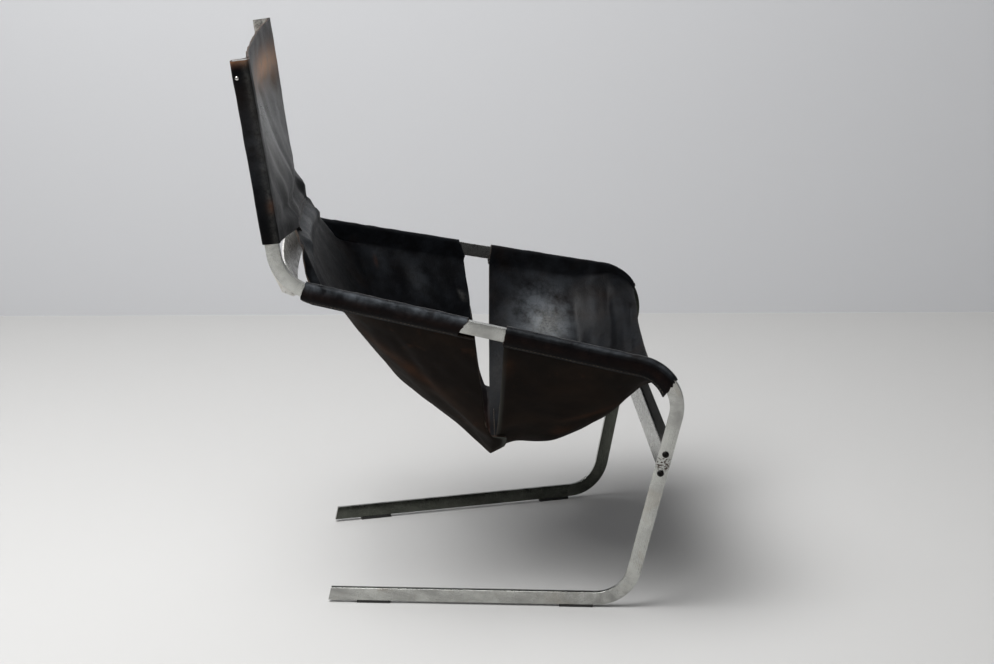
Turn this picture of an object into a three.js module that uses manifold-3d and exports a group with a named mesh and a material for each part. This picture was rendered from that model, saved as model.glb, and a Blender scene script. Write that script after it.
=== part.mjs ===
// Sling lounge chair: two bent flat-bar side frames, two cross braces and three leather panels.
// Millimetres, +Z up, +X to the front, +Y to the sitter's left, origin on the floor under the middle.
import * as THREE from 'three';
import { mergeVertices } from 'three/addons/utils/BufferGeometryUtils.js';
import Module from 'manifold-3d';

const wasm = await Module();
wasm.setup();

// Flat bar that each side frame is bent from
const BAR_WIDTH = 23;
const BAR_THICKNESS = 8;
const BAR_EDGE_EASE = 0.7;

// Centre line of a side frame, corner to corner, in the frame's own plane
const RUNNER_LENGTH = 501;
const LEG_LENGTH = 413;
const ARM_LENGTH = 668;
const POST_LENGTH = 371;
const FLOOR_BEND_RADIUS = 68;
const FRONT_BEND_RADIUS = 72;
const REAR_BEND_RADIUS = 73;
const LEG_LEAN_DEG = 14.8;
const ARM_RISE_DEG = 13.1;
const POST_LEAN_DEG = 5.2;
const RUNNER_END_SLANT_DEG = 15;

// How the two frames stand: apart, toed out to the front and leaning out to the top
const FRAME_HALF_SPREAD = 247.6;
const FLOOR_CORNER_REACH = 249;
const TOE_OUT_DEG = 9.8;
const LEAN_OUT_DEG = 5.9;

// Glide strips that the runners stand on
const GLIDE_HEIGHT = 4;
const GLIDE_LENGTH = 56;
const GLIDE_WIDTH = 10;
const FRONT_GLIDE_SETBACK = 88;
const REAR_GLIDE_SETBACK = 46;

// Front brace: a folded angle with an end plate bolted inside each leg
const FRONT_WEB_HEIGHT = 39;
const FRONT_FLANGE_DEPTH = 19;
const BRACE_SHEET = 3;
const BRACE_FOLD_RADIUS = 4.5;
const BRACE_TOP_UP_LEG = 286;
const BRACE_REAR_INSET = 1.5;
const END_PLATE_LENGTH = 60;
const END_PLATE_WIDTH = 20;
const END_PLATE_THICKNESS = 4;

// Rear brace: a bowed strip with a welding lug bent against each rear bend
const REAR_STRIP_WIDTH = 52;
const REAR_STRIP_BOW = 15;
const REAR_STRIP_LEAN_DEG = 23;
const REAR_STRIP_REACH = 33;
const REAR_STRIP_DROP = 15;
const LUG_LENGTH = 27;
const LUG_CHAMFER = 13;

// Bolts, nuts and sleeve screws
const BOLT_SPACING = 34.5;
const UPPER_BOLT_DROP = 14;
const BOLT_SHANK_DIAMETER = 6;
const BOLT_HOLE_DIAMETER = 6.8;
const BOLT_HEAD_DIAMETER = 11.5;
const BOLT_HEAD_HEIGHT = 3.4;
const SOCKET_ACROSS_FLATS = 4;
const SOCKET_DEPTH = 2;
const NUT_ACROSS_FLATS = 10;
const NUT_THICKNESS = 5;
const BOLT_END_PROUD = 1.5;
const SCREW_HEAD_DIAMETER = 6.5;
const SCREW_HEAD_HEIGHT = 1.6;
const SCREW_SHANK_DIAMETER = 3;
const SCREW_HOLE_DIAMETER = 3.8;
const SCREW_BELOW_TOP = 27;
const SCREW_BEHIND_MIDDLE = 7;

// Leather and the clearance that its sleeves and every seated piece keep
const LEATHER_THICKNESS = 3;
const FIT_GAP = 0.3;
const SLEEVE_HEM_DROP = 9;
const SLEEVE_CROWN_SETBACK = 1.2;

// Arm sleeves, by arc length along the bar from the rear end of its straight arm
const SEAT_SLEEVE_BACK_OVER_BEND = 13;
const SEAT_SLEEVE_END_SLANT = 13;
const SLOT_START = 255;
const SLOT_LENGTH = 64;
const SLOT_CUT_SLANT = 13;
const SLOT_INNER_SHIFT = 15;
const FRONT_SLEEVE_OVER_BEND = 50;
const FRONT_SLEEVE_SLANT = 14;

// Seat trough on the middle line: the back seam from the rear corners of the frames, the keel seam
// from the slots in the arms' sleeves, and the front edge from the front corners
const BACK_SEAM_RISE = 70;
const BACK_SEAM_REACH = 14;
const BACK_SEAM_HALF_WIDTH = 120;
const KEEL_DROP = 288;
const KEEL_REACH = 5;
const FRONT_EDGE_DROP = 71;
const FRONT_EDGE_SETBACK = 34;
const KEEL_LAP = 20;
const KEEL_STEP_BACK = 4;
const KEEL_STEP_DOWN = 5.8;

// Back panel between the posts
const BACK_SLEEVE_END_ABOVE_BEND = 19;
const BACK_SAG = 14;
const BACK_TOP_DIP = 5;
const BACK_SEAM_LAP = 14;
const BACK_FREE_EDGE_HALF_WIDTH = 145;
const BACK_HEM_TAIL = 12;

// Shares of the spans that they follow, from the first end to the second
const REAR_FALL_SHARES = [[0, 0], [0.23, 0.335], [0.46, 0.605], [0.68, 0.762], [0.88, 0.865], [1, 1]];
const FRONT_RISE_SHARES = [[0, 0], [0.14, 0.12], [0.37, 0.12], [0.52, 0.253], [0.7, 0.48], [0.86, 0.82], [1, 1]];
const BACK_SAG_SHARES = [[0, -1], [0.4, -1.1], [0.72, -0.5], [0.88, 1.5], [1, 0]];
const INNER_RISE_SHARE = 0.45;
const LAP_REACH_SHARE = 0.45;
const LAP_FADE_SHARE = 0.1;
const LAP_LEAST_SHARE = 0.02;
const SLOT_OPEN_SHARE = 0.2;
const KEEL_RISE_SHARE = 0.42;
const FRONT_ROW_POWER = 1.6;

// Counts and exponents
const BEND_STEPS = 7;
const ROUND_STEPS = 14;
const BOW_STEPS = 16;
const SEAT_ROWS = 11;
const BACK_ROWS = 12;
const SLING_STEPS = 9;
const CROWN_STEPS = 4;
const TROUGH_POWER = 2;
const REAR_EDGE_POWER = 5.5;
const REAR_EDGE_REACH_POWER = 3;
const REAR_FADE_POWER = 5;
const LATE_POWER = 8;

const halfWidth = BAR_WIDTH / 2;
const sleeveOffset = BAR_THICKNESS / 2 + FIT_GAP + LEATHER_THICKNESS / 2;
const radians = THREE.MathUtils.degToRad;

// Materials
const finish = (color, roughness, metalness) => new THREE.MeshStandardMaterial({ color, roughness, metalness });
const brushedSteel = () => finish(0x9c9f99, 0.42, 1);
const blackOxide = () => finish(0x1c1b1a, 0.5, 0.8);
const brightSteel = () => finish(0xc4c6c4, 0.25, 1);
const blackPlastic = () => finish(0x141414, 0.7, 0);
const agedLeather = () => finish(0x1d1b1c, 0.5, 0);

const smoothShare = (share) => {
  const s = THREE.MathUtils.clamp(share, 0, 1);
  return s * s * (3 - 2 * s);
};

// Plane geometry of the bar's centre line

function heading(degrees) {
  return new THREE.Vector2(Math.cos(radians(degrees)), Math.sin(radians(degrees)));
}

function leftOf(direction) {
  return new THREE.Vector2(-direction.y, direction.x);
}

// Round corner between two straight runs, as the arc of the bar's centre line.
function bendAt(before, corner, after, radius) {
  const into = corner.clone().sub(before).normalize();
  const out = after.clone().sub(corner).normalize();
  const turn = Math.atan2(into.cross(out), into.dot(out));
  const tangent = radius * Math.tan(Math.abs(turn) / 2);
  const start = corner.clone().addScaledVector(into, -tangent);
  const centre = start.clone().addScaledVector(leftOf(into), radius * Math.sign(turn));
  const startAngle = Math.atan2(start.y - centre.y, start.x - centre.x);
  return { corner, into, out, turn, tangent, radius, start, centre, startAngle };
}

const frameLine = (() => {
  const floorCorner = new THREE.Vector2(FLOOR_CORNER_REACH, GLIDE_HEIGHT + halfWidth);
  const runnerEnd = floorCorner.clone().addScaledVector(heading(0), -RUNNER_LENGTH);
  const legUp = heading(90 - LEG_LEAN_DEG);
  const armBack = heading(180 - ARM_RISE_DEG);
  const postUp = heading(90 + POST_LEAN_DEG);
  const frontCorner = floorCorner.clone().addScaledVector(legUp, LEG_LENGTH);
  const rearCorner = frontCorner.clone().addScaledVector(armBack, ARM_LENGTH);
  const postEnd = rearCorner.clone().addScaledVector(postUp, POST_LENGTH);
  const bends = [
    bendAt(runnerEnd, floorCorner, frontCorner, FLOOR_BEND_RADIUS),
    bendAt(floorCorner, frontCorner, rearCorner, FRONT_BEND_RADIUS),
    bendAt(frontCorner, rearCorner, postEnd, REAR_BEND_RADIUS),
  ];
  return { runnerEnd, floorCorner, frontCorner, rearCorner, postEnd, legUp, armBack, postUp, bends };
})();

const [floorBend, frontBend, rearBend] = frameLine.bends;
const armStraight = ARM_LENGTH - frontBend.tangent - rearBend.tangent;
const postStraight = POST_LENGTH - rearBend.tangent;
const rearBendLength = Math.abs(rearBend.turn) * REAR_BEND_RADIUS;

// Point and directions on the bar at an arc length forward of the arm's rear end.
// Negative lengths run through the rear bend and up the post.
function barStation(along) {
  const forward = frameLine.armBack.clone().negate();
  const armStart = frameLine.rearCorner.clone().addScaledVector(forward, rearBend.tangent);
  if (along > armStraight) {
    const angle = -radians(ARM_RISE_DEG) - (along - armStraight) / FRONT_BEND_RADIUS;
    const travel = new THREE.Vector2(Math.cos(angle), Math.sin(angle));
    const point = frontBend.centre.clone().addScaledVector(leftOf(travel), FRONT_BEND_RADIUS);
    return { point, travel, outer: leftOf(travel) };
  }
  if (along >= 0) {
    return { point: armStart.addScaledVector(forward, along), travel: forward, outer: leftOf(forward) };
  }
  const bent = Math.min(-along, rearBendLength);
  const angle = -radians(ARM_RISE_DEG) - bent / REAR_BEND_RADIUS;
  const travel = new THREE.Vector2(Math.cos(angle), Math.sin(angle));
  const point = rearBend.centre.clone().addScaledVector(leftOf(travel), -REAR_BEND_RADIUS);
  point.addScaledVector(travel, bent + along);
  return { point, travel, outer: leftOf(travel) };
}

// Groups that stand a frame: turned out about the upright, then leaning out about its own length.
// Local x runs forward along the runner, local z up the plane, local y across it.
function standFrame(side) {
  const toe = new THREE.Group();
  toe.position.set(0, side * FRAME_HALF_SPREAD, 0);
  toe.rotation.z = side * radians(TOE_OUT_DEG);
  const lean = new THREE.Group();
  lean.rotation.x = -side * radians(LEAN_OUT_DEG);
  toe.add(lean);
  toe.updateMatrixWorld(true);
  return { toe, lean };
}

const leftPlane = standFrame(1).lean;
const planeNormal = new THREE.Vector3(0, 1, 0).transformDirection(leftPlane.matrixWorld);

// World point of the left frame from its plane coordinates and its depth outward from the outer face.
function leftPoint(planePoint, depth) {
  return leftPlane.localToWorld(new THREE.Vector3(planePoint.x, depth, planePoint.y));
}

// World y of the left frame's face at a depth, over a point of the x-z plane.
function facePlaneY(x, z, depth) {
  const anchor = leftPoint(new THREE.Vector2(0, 0), depth);
  return anchor.y - (planeNormal.x * (x - anchor.x) + planeNormal.z * (z - anchor.z)) / planeNormal.y;
}

// Solids

function toManifold(geometry) {
  const bare = geometry.clone();
  bare.deleteAttribute('normal');
  bare.deleteAttribute('uv');
  const merged = mergeVertices(bare);
  const vertProperties = Float32Array.from(merged.attributes.position.array);
  const triVerts = Uint32Array.from(merged.index.array);
  return new wasm.Manifold(new wasm.Mesh({ numProp: 3, vertProperties, triVerts }));
}

function fromManifold(solid) {
  const mesh = solid.getMesh();
  const geometry = new THREE.BufferGeometry();
  geometry.setAttribute('position', new THREE.BufferAttribute(Float32Array.from(mesh.vertProperties), 3));
  geometry.setIndex(new THREE.BufferAttribute(Uint32Array.from(mesh.triVerts), 1));
  geometry.computeVertexNormals();
  return geometry;
}

function joined(first, ...rest) {
  return fromManifold(rest.reduce((solid, part) => solid.add(toManifold(part)), toManifold(first)));
}

function cut(body, tools) {
  return fromManifold(tools.reduce((solid, tool) => solid.subtract(toManifold(tool)), toManifold(body)));
}

function named(name, geometry, material) {
  const mesh = new THREE.Mesh(geometry, material);
  mesh.name = name;
  return mesh;
}

// Extrusion of an outline in a frame's plane, from one depth across the plane to another.
function plate(shape, depthFrom, depthTo, ease) {
  const geometry = new THREE.ExtrudeGeometry(shape, {
    depth: Math.abs(depthTo - depthFrom) - 2 * ease,
    bevelEnabled: ease > 0,
    bevelThickness: ease,
    bevelSize: ease,
    bevelOffset: -ease,
    bevelSegments: 1,
    curveSegments: BEND_STEPS,
  });
  geometry.rotateX(Math.PI / 2);
  geometry.translate(0, Math.max(depthFrom, depthTo) - ease, 0);
  return geometry;
}

function cylinderAcross(planePoint, radius, depthFrom, depthTo) {
  const geometry = new THREE.CylinderGeometry(radius, radius, Math.abs(depthTo - depthFrom), ROUND_STEPS);
  geometry.translate(planePoint.x, (depthFrom + depthTo) / 2, planePoint.y);
  return geometry;
}

// Closed sheet of even thickness about a grid of middle points.
function sheetSolid(grid, thickness) {
  const rows = grid.length;
  const columns = grid[0].length;
  const pick = (r, c) => grid[THREE.MathUtils.clamp(r, 0, rows - 1)][THREE.MathUtils.clamp(c, 0, columns - 1)];
  const positions = [];
  for (const face of [1, -1]) {
    for (let r = 0; r < rows; r += 1) {
      for (let c = 0; c < columns; c += 1) {
        const alongRows = pick(r + 1, c).clone().sub(pick(r - 1, c));
        const alongColumns = pick(r, c + 1).clone().sub(pick(r, c - 1));
        const normal = alongRows.cross(alongColumns).normalize();
        const point = grid[r][c].clone().addScaledVector(normal, face * thickness / 2);
        positions.push(point.x, point.y, point.z);
      }
    }
  }
  const front = (r, c) => r * columns + c;
  const back = (r, c) => rows * columns + r * columns + c;
  const index = [];
  const quad = (a, b, c, d) => index.push(a, b, c, a, c, d);
  for (let r = 0; r < rows - 1; r += 1) {
    for (let c = 0; c < columns - 1; c += 1) {
      quad(front(r, c), front(r + 1, c), front(r + 1, c + 1), front(r, c + 1));
      quad(back(r, c), back(r, c + 1), back(r + 1, c + 1), back(r + 1, c));
    }
    quad(front(r, 0), back(r, 0), back(r + 1, 0), front(r + 1, 0));
    quad(front(r + 1, columns - 1), back(r + 1, columns - 1), back(r, columns - 1), front(r, columns - 1));
  }
  for (let c = 0; c < columns - 1; c += 1) {
    quad(front(0, c + 1), back(0, c + 1), back(0, c), front(0, c));
    quad(front(rows - 1, c), back(rows - 1, c), back(rows - 1, c + 1), front(rows - 1, c + 1));
  }
  const geometry = new THREE.BufferGeometry();
  geometry.setAttribute('position', new THREE.Float32BufferAttribute(positions, 3));
  geometry.setIndex(index);
  geometry.computeVertexNormals();
  return geometry;
}

// Side frames

// Point beside the leg's centre line: up from the floor corner and forward of the middle.
function legPoint(up, forward) {
  const point = frameLine.floorCorner.clone().addScaledVector(frameLine.legUp, up);
  return point.addScaledVector(leftOf(frameLine.legUp), -forward);
}

const boltPoints = [UPPER_BOLT_DROP, UPPER_BOLT_DROP + BOLT_SPACING].map((drop) => legPoint(BRACE_TOP_UP_LEG - drop, 0));

const screwPoint = frameLine.postEnd.clone()
  .addScaledVector(frameLine.postUp, -SCREW_BELOW_TOP)
  .addScaledVector(leftOf(frameLine.postUp), SCREW_BEHIND_MIDDLE);

function roundHole(centre, diameter) {
  const hole = new THREE.Path();
  hole.absarc(centre.x, centre.y, diameter / 2, 0, 2 * Math.PI, true);
  return hole;
}

function frameOutline() {
  const slant = halfWidth * Math.tan(radians(RUNNER_END_SLANT_DEG));
  const shape = new THREE.Shape();
  shape.moveTo(frameLine.runnerEnd.x + slant, frameLine.runnerEnd.y + halfWidth);
  shape.lineTo(frameLine.runnerEnd.x - slant, frameLine.runnerEnd.y - halfWidth);
  for (const bend of frameLine.bends) {
    const radius = bend.radius + Math.sign(bend.turn) * halfWidth;
    shape.absarc(bend.centre.x, bend.centre.y, radius, bend.startAngle, bend.startAngle + bend.turn, bend.turn < 0);
  }
  for (const side of [-1, 1]) {
    const end = frameLine.postEnd.clone().addScaledVector(leftOf(frameLine.postUp), side * halfWidth);
    shape.lineTo(end.x, end.y);
  }
  for (const bend of [...frameLine.bends].reverse()) {
    const radius = bend.radius - Math.sign(bend.turn) * halfWidth;
    shape.absarc(bend.centre.x, bend.centre.y, radius, bend.startAngle + bend.turn, bend.startAngle, bend.turn > 0);
  }
  boltPoints.forEach((point) => shape.holes.push(roundHole(point, BOLT_HOLE_DIAMETER)));
  shape.holes.push(roundHole(screwPoint, SCREW_HOLE_DIAMETER));
  return shape;
}

// A depth counts inward from the outer face; a side turns it into the frame's local y.
function sideFrame(side) {
  return plate(frameOutline(), 0, -side * BAR_THICKNESS, BAR_EDGE_EASE);
}

// Glide strips

function glide(setback, fromRear) {
  const start = fromRear
    ? frameLine.runnerEnd.x + setback
    : floorBend.start.x - setback + GLIDE_LENGTH / 2;
  const middleDepth = -BAR_THICKNESS / 2;
  const box = new THREE.BoxGeometry(GLIDE_LENGTH, GLIDE_WIDTH, GLIDE_HEIGHT - FIT_GAP);
  box.translate(start + GLIDE_LENGTH / 2, middleDepth, (GLIDE_HEIGHT - FIT_GAP) / 2);
  const geometry = mergeVertices((() => {
    box.deleteAttribute('normal');
    box.deleteAttribute('uv');
    return box;
  })());
  const position = geometry.attributes.position;
  for (let i = 0; i < position.count; i += 1) {
    const local = new THREE.Vector3().fromBufferAttribute(position, i);
    const onFloor = local.z < GLIDE_HEIGHT / 2;
    const world = leftPlane.localToWorld(local);
    position.setXYZ(i, world.x, world.y, onFloor ? 0 : world.z);
  }
  geometry.computeVertexNormals();
  return geometry;
}

// Copy of a world-placed piece on the other side of the middle plane, wound so that it faces out.
function mirrored(geometry) {
  const copy = geometry.clone();
  const position = copy.attributes.position;
  for (let i = 0; i < position.count; i += 1) {
    position.setY(i, -position.getY(i));
  }
  const order = copy.index.array;
  for (let i = 0; i < order.length; i += 3) {
    [order[i], order[i + 1]] = [order[i + 1], order[i]];
  }
  copy.computeVertexNormals();
  return copy;
}

// Front brace

function anglePath() {
  const inner = BRACE_FOLD_RADIUS - BRACE_SHEET;
  const shape = new THREE.Shape();
  shape.moveTo(BRACE_SHEET, -FRONT_WEB_HEIGHT);
  shape.lineTo(BRACE_SHEET, -BRACE_FOLD_RADIUS);
  shape.absarc(BRACE_FOLD_RADIUS, -BRACE_FOLD_RADIUS, inner, Math.PI, Math.PI / 2, true);
  shape.lineTo(FRONT_FLANGE_DEPTH, -BRACE_SHEET);
  shape.lineTo(FRONT_FLANGE_DEPTH, 0);
  shape.absarc(BRACE_FOLD_RADIUS, -BRACE_FOLD_RADIUS, BRACE_FOLD_RADIUS, Math.PI / 2, Math.PI, false);
  shape.lineTo(0, -FRONT_WEB_HEIGHT);
  return shape;
}

function endPlate() {
  const shape = new THREE.Shape();
  const rear = BRACE_REAR_INSET - halfWidth;
  const front = rear + END_PLATE_WIDTH;
  const foot = BRACE_TOP_UP_LEG - END_PLATE_LENGTH;
  const corners = [[foot, rear], [foot, front], [BRACE_TOP_UP_LEG, front], [BRACE_TOP_UP_LEG, rear]];
  shape.setFromPoints(corners.map(([up, forward]) => legPoint(up, forward)));
  boltPoints.forEach((point) => shape.holes.push(roundHole(point, BOLT_HOLE_DIAMETER)));
  const seat = -BAR_THICKNESS - FIT_GAP;
  return plate(shape, seat, seat - END_PLATE_THICKNESS, 0).applyMatrix4(leftPlane.matrixWorld);
}

function frontBrace() {
  const seat = -BAR_THICKNESS - FIT_GAP;
  const top = leftPoint(legPoint(BRACE_TOP_UP_LEG, BRACE_REAR_INSET - halfWidth), seat);
  const foot = leftPoint(legPoint(0, BRACE_REAR_INSET - halfWidth), seat);
  const up = new THREE.Vector2(top.x - foot.x, top.z - foot.z).normalize();
  const forward = leftOf(up).negate();
  const beam = new THREE.ExtrudeGeometry(anglePath(), { depth: 1, bevelEnabled: false, curveSegments: BEND_STEPS });
  const position = beam.attributes.position;
  for (let i = 0; i < position.count; i += 1) {
    const x = top.x + forward.x * position.getX(i) + up.x * position.getY(i);
    const z = top.z + forward.y * position.getX(i) + up.y * position.getY(i);
    position.setXYZ(i, x, (1 - 2 * position.getZ(i)) * facePlaneY(x, z, seat), z);
  }
  const leftPlate = mergeVertices(bareGeometry(endPlate()));
  return joined(beam, leftPlate, mirrored(leftPlate));
}

function bareGeometry(geometry) {
  geometry.deleteAttribute('normal');
  geometry.deleteAttribute('uv');
  return geometry;
}

// Rear brace

function lugPlate(stripTop, stripFoot) {
  const along = stripTop.clone().sub(stripFoot).normalize();
  const rearward = leftOf(along);
  const shape = new THREE.Shape();
  shape.setFromPoints([
    stripFoot,
    stripTop,
    stripTop.clone().addScaledVector(rearward, LUG_LENGTH),
    stripFoot.clone().addScaledVector(rearward, LUG_LENGTH).addScaledVector(along, LUG_CHAMFER),
    stripFoot.clone().addScaledVector(rearward, LUG_LENGTH - LUG_CHAMFER),
  ]);
  const seat = -BAR_THICKNESS - FIT_GAP;
  return plate(shape, seat, seat - BRACE_SHEET, 0).applyMatrix4(leftPlane.matrixWorld);
}

function rearBrace() {
  const seat = -BAR_THICKNESS - FIT_GAP;
  const stripFoot = frameLine.rearCorner.clone();
  stripFoot.x += REAR_STRIP_REACH;
  stripFoot.y -= REAR_STRIP_DROP;
  const stripTop = stripFoot.clone().addScaledVector(heading(90 + REAR_STRIP_LEAN_DEG), REAR_STRIP_WIDTH);
  const foot = leftPoint(stripFoot, seat);
  const top = leftPoint(stripTop, seat);
  const up = new THREE.Vector2(top.x - foot.x, top.z - foot.z);
  const rearward = leftOf(up.clone().normalize());
  const strip = new THREE.BoxGeometry(1, 2, 1, 1, BOW_STEPS, 1);
  const position = strip.attributes.position;
  for (let i = 0; i < position.count; i += 1) {
    const share = position.getY(i);
    const rise = position.getZ(i) + 1 / 2;
    const depth = (1 / 2 - position.getX(i)) * BRACE_SHEET;
    const bow = REAR_STRIP_BOW * (1 - share * share);
    const x = foot.x + up.x * rise + rearward.x * (depth + bow);
    const z = foot.z + up.y * rise + rearward.y * (depth + bow);
    position.setXYZ(i, x, share * facePlaneY(x, z, seat), z);
  }
  const leftLug = mergeVertices(bareGeometry(lugPlate(stripTop, stripFoot)));
  return joined(strip, leftLug, mirrored(leftLug));
}

// Fasteners

// Button-head bolt with a hexagon socket, along local y with its head outward.
function bolt() {
  const grip = BAR_THICKNESS + FIT_GAP + END_PLATE_THICKNESS + FIT_GAP + NUT_THICKNESS + BOLT_END_PROUD;
  const shank = BOLT_SHANK_DIAMETER / 2;
  const head = BOLT_HEAD_DIAMETER / 2;
  const profile = [new THREE.Vector2(0, -grip), new THREE.Vector2(shank, -grip), new THREE.Vector2(shank, FIT_GAP)];
  const domeSteps = CROWN_STEPS;
  for (let i = 0; i <= domeSteps; i += 1) {
    const angle = (i / domeSteps) * Math.PI / 2;
    const height = FIT_GAP + BOLT_HEAD_HEIGHT * Math.sin(angle);
    profile.push(new THREE.Vector2(i < domeSteps ? head * Math.cos(angle) : 0, height));
  }
  const socketRadius = SOCKET_ACROSS_FLATS / Math.sqrt(3);
  const socket = new THREE.CylinderGeometry(socketRadius, socketRadius, 2 * SOCKET_DEPTH, 6);
  socket.translate(0, FIT_GAP + BOLT_HEAD_HEIGHT, 0);
  return cut(new THREE.LatheGeometry(profile, ROUND_STEPS), [socket]);
}

function nut() {
  const shape = new THREE.Shape();
  const corner = NUT_ACROSS_FLATS / Math.sqrt(3);
  shape.setFromPoints(Array.from({ length: 6 }, (_, i) => heading(60 * i).multiplyScalar(corner)));
  shape.holes.push(roundHole(new THREE.Vector2(0, 0), BOLT_HOLE_DIAMETER));
  const seat = -BAR_THICKNESS - FIT_GAP - END_PLATE_THICKNESS - FIT_GAP;
  return plate(shape, seat, seat - NUT_THICKNESS, 0);
}

// Domed screw through the leather into the post, along local y with its head outward.
function sleeveScrew() {
  const shank = SCREW_SHANK_DIAMETER / 2;
  const head = SCREW_HEAD_DIAMETER / 2;
  const seat = FIT_GAP + LEATHER_THICKNESS + FIT_GAP;
  const tip = -BAR_THICKNESS;
  const profile = [new THREE.Vector2(0, tip), new THREE.Vector2(shank, tip), new THREE.Vector2(shank, seat)];
  const domeSteps = CROWN_STEPS;
  for (let i = 0; i <= domeSteps; i += 1) {
    const angle = (i / domeSteps) * Math.PI / 2;
    const height = seat + SCREW_HEAD_HEIGHT * Math.sin(angle);
    profile.push(new THREE.Vector2(i < domeSteps ? head * Math.cos(angle) : 0, height));
  }
  return new THREE.LatheGeometry(profile, ROUND_STEPS);
}

// Piece that belongs at a point of the frame's plane, facing outward on either side.
function placeOnFrame(mesh, planePoint, side) {
  mesh.position.set(planePoint.x, 0, planePoint.y);
  mesh.rotation.z = side > 0 ? 0 : Math.PI;
  return mesh;
}

// Leather sleeves: middle line of the leather round the bar, as offsets from the bar's middle.
// Each entry is [outward across the plane, toward the bar's outer edge].

function crownArc(fromDeg, toDeg) {
  const points = [];
  const centre = halfWidth - SLEEVE_CROWN_SETBACK;
  for (let i = 0; i <= 2 * CROWN_STEPS; i += 1) {
    const angle = radians(THREE.MathUtils.lerp(fromDeg, toDeg, i / (2 * CROWN_STEPS)));
    points.push([sleeveOffset * Math.cos(angle), centre + sleeveOffset * Math.sin(angle)]);
  }
  return points;
}

const hemDepth = halfWidth + SLEEVE_HEM_DROP;

// From the sewn hem under the bar, up the outer face, over the arm and down its inner face.
function armSleeve(innerLevel) {
  const hemEnd = [LEATHER_THICKNESS + FIT_GAP - sleeveOffset, -hemDepth];
  const innerTop = halfWidth - SLEEVE_CROWN_SETBACK;
  return [
    hemEnd,
    [hemEnd[0] + LEATHER_THICKNESS, -hemDepth + LEATHER_THICKNESS],
    [sleeveOffset, -halfWidth],
    [sleeveOffset, 0],
    ...crownArc(0, 180),
    [-sleeveOffset, (innerTop + innerLevel) / 2],
    [-sleeveOffset, innerLevel],
  ];
}

// Curve through shares of the span between two points of the middle plane.
function spanCurve(shares, startX, startZ, endX, endZ) {
  const points = shares.map(([reach, rise]) => new THREE.Vector3(
    THREE.MathUtils.lerp(startX, endX, reach), 0, THREE.MathUtils.lerp(startZ, endZ, rise)));
  return new THREE.CatmullRomCurve3(points, false, 'centripetal');
}

function sleevePoint(along, [across, outer]) {
  const station = barStation(along);
  const planePoint = station.point.clone().addScaledVector(station.outer, outer);
  return leftPoint(planePoint, across - BAR_THICKNESS / 2);
}

// Point of a hanging section, at a share of the way from the middle line to beside the arm.
function slingPoint(edge, middle, share, risePower, reachPower) {
  const rise = share ** risePower;
  const reach = share ** reachPower;
  return new THREE.Vector3(
    THREE.MathUtils.lerp(middle.x, edge.x, reach), edge.y * share, THREE.MathUtils.lerp(middle.z, edge.z, rise));
}

// Hanging columns of one row, from the sleeve inward to the middle line.
function slingColumns(pointAt) {
  return Array.from({ length: SLING_STEPS }, (_, i) => pointAt((SLING_STEPS - 1 - i) / SLING_STEPS));
}

// Whole row of a panel from its left half, mirrored in the middle plane.
function wholeRow(half) {
  const mirror = half.slice(0, -1).reverse().map((p) => new THREE.Vector3(p.x, -p.y, p.z));
  return [...half, ...mirror];
}

const seamTop = new THREE.Vector2(BACK_SEAM_REACH, BACK_SEAM_RISE).add(frameLine.rearCorner);
const keelLine = new THREE.Vector2(KEEL_REACH, -KEEL_DROP).add(barStation(SLOT_START + SLOT_LENGTH / 2).point);
const frontEdge = new THREE.Vector2(-FRONT_EDGE_SETBACK, -FRONT_EDGE_DROP).add(frameLine.frontCorner);
const frontMiddle = spanCurve(FRONT_RISE_SHARES, keelLine.x, keelLine.y, frontEdge.x, frontEdge.y);
const rearMiddle = spanCurve(REAR_FALL_SHARES, seamTop.x, seamTop.y,
  keelLine.x - KEEL_STEP_BACK, keelLine.y - KEEL_STEP_DOWN);
const keelLapShare = KEEL_LAP / (frontEdge.x - keelLine.x);

// How far down the bar an offset lies, as a share of the bar's width from its outer edge.
function downShare([, outer]) {
  return Math.max((halfWidth - outer) / BAR_WIDTH, 0);
}

// Front seat panel: sleeve of one row at a share of the way to the front edge.
function frontSleeve(share) {
  const rise = smoothShare((share - INNER_RISE_SHARE) / (1 - INNER_RISE_SHARE));
  const innerLevel = THREE.MathUtils.lerp(-hemDepth, halfWidth - 2 * SLEEVE_CROWN_SETBACK - LEATHER_THICKNESS, rise);
  return armSleeve(innerLevel).map((offset) => {
    const frontCut = armStraight + FRONT_SLEEVE_OVER_BEND + FRONT_SLEEVE_SLANT * downShare(offset);
    return sleevePoint(THREE.MathUtils.lerp(SLOT_START + SLOT_LENGTH, frontCut, share), offset);
  });
}

// Front seat panel: hanging point at a share forward and a share outward from the middle.
function frontSling(share, edge) {
  const middle = frontMiddle.getPoint(share);
  return (across) => slingPoint(edge, middle, across, TROUGH_POWER, TROUGH_POWER);
}

function frontRow(share) {
  const sleeve = frontSleeve(share);
  return [...sleeve, ...slingColumns(frontSling(share, sleeve[sleeve.length - 1]))];
}

// The first row ends the keel lap; the rest crowd toward the bend over the front of the arm.
function frontGridRow(r) {
  const later = 1 - (1 - (r - 1) / (SEAT_ROWS - 1)) ** FRONT_ROW_POWER;
  return frontRow(r === 0 ? 0 : THREE.MathUtils.lerp(keelLapShare, 1, later));
}

function seatFrontPanel() {
  const grid = [];
  for (let r = 0; r <= SEAT_ROWS; r += 1) {
    grid.push(wholeRow(frontGridRow(r)));
  }
  return sheetSolid(grid, LEATHER_THICKNESS);
}

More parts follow.
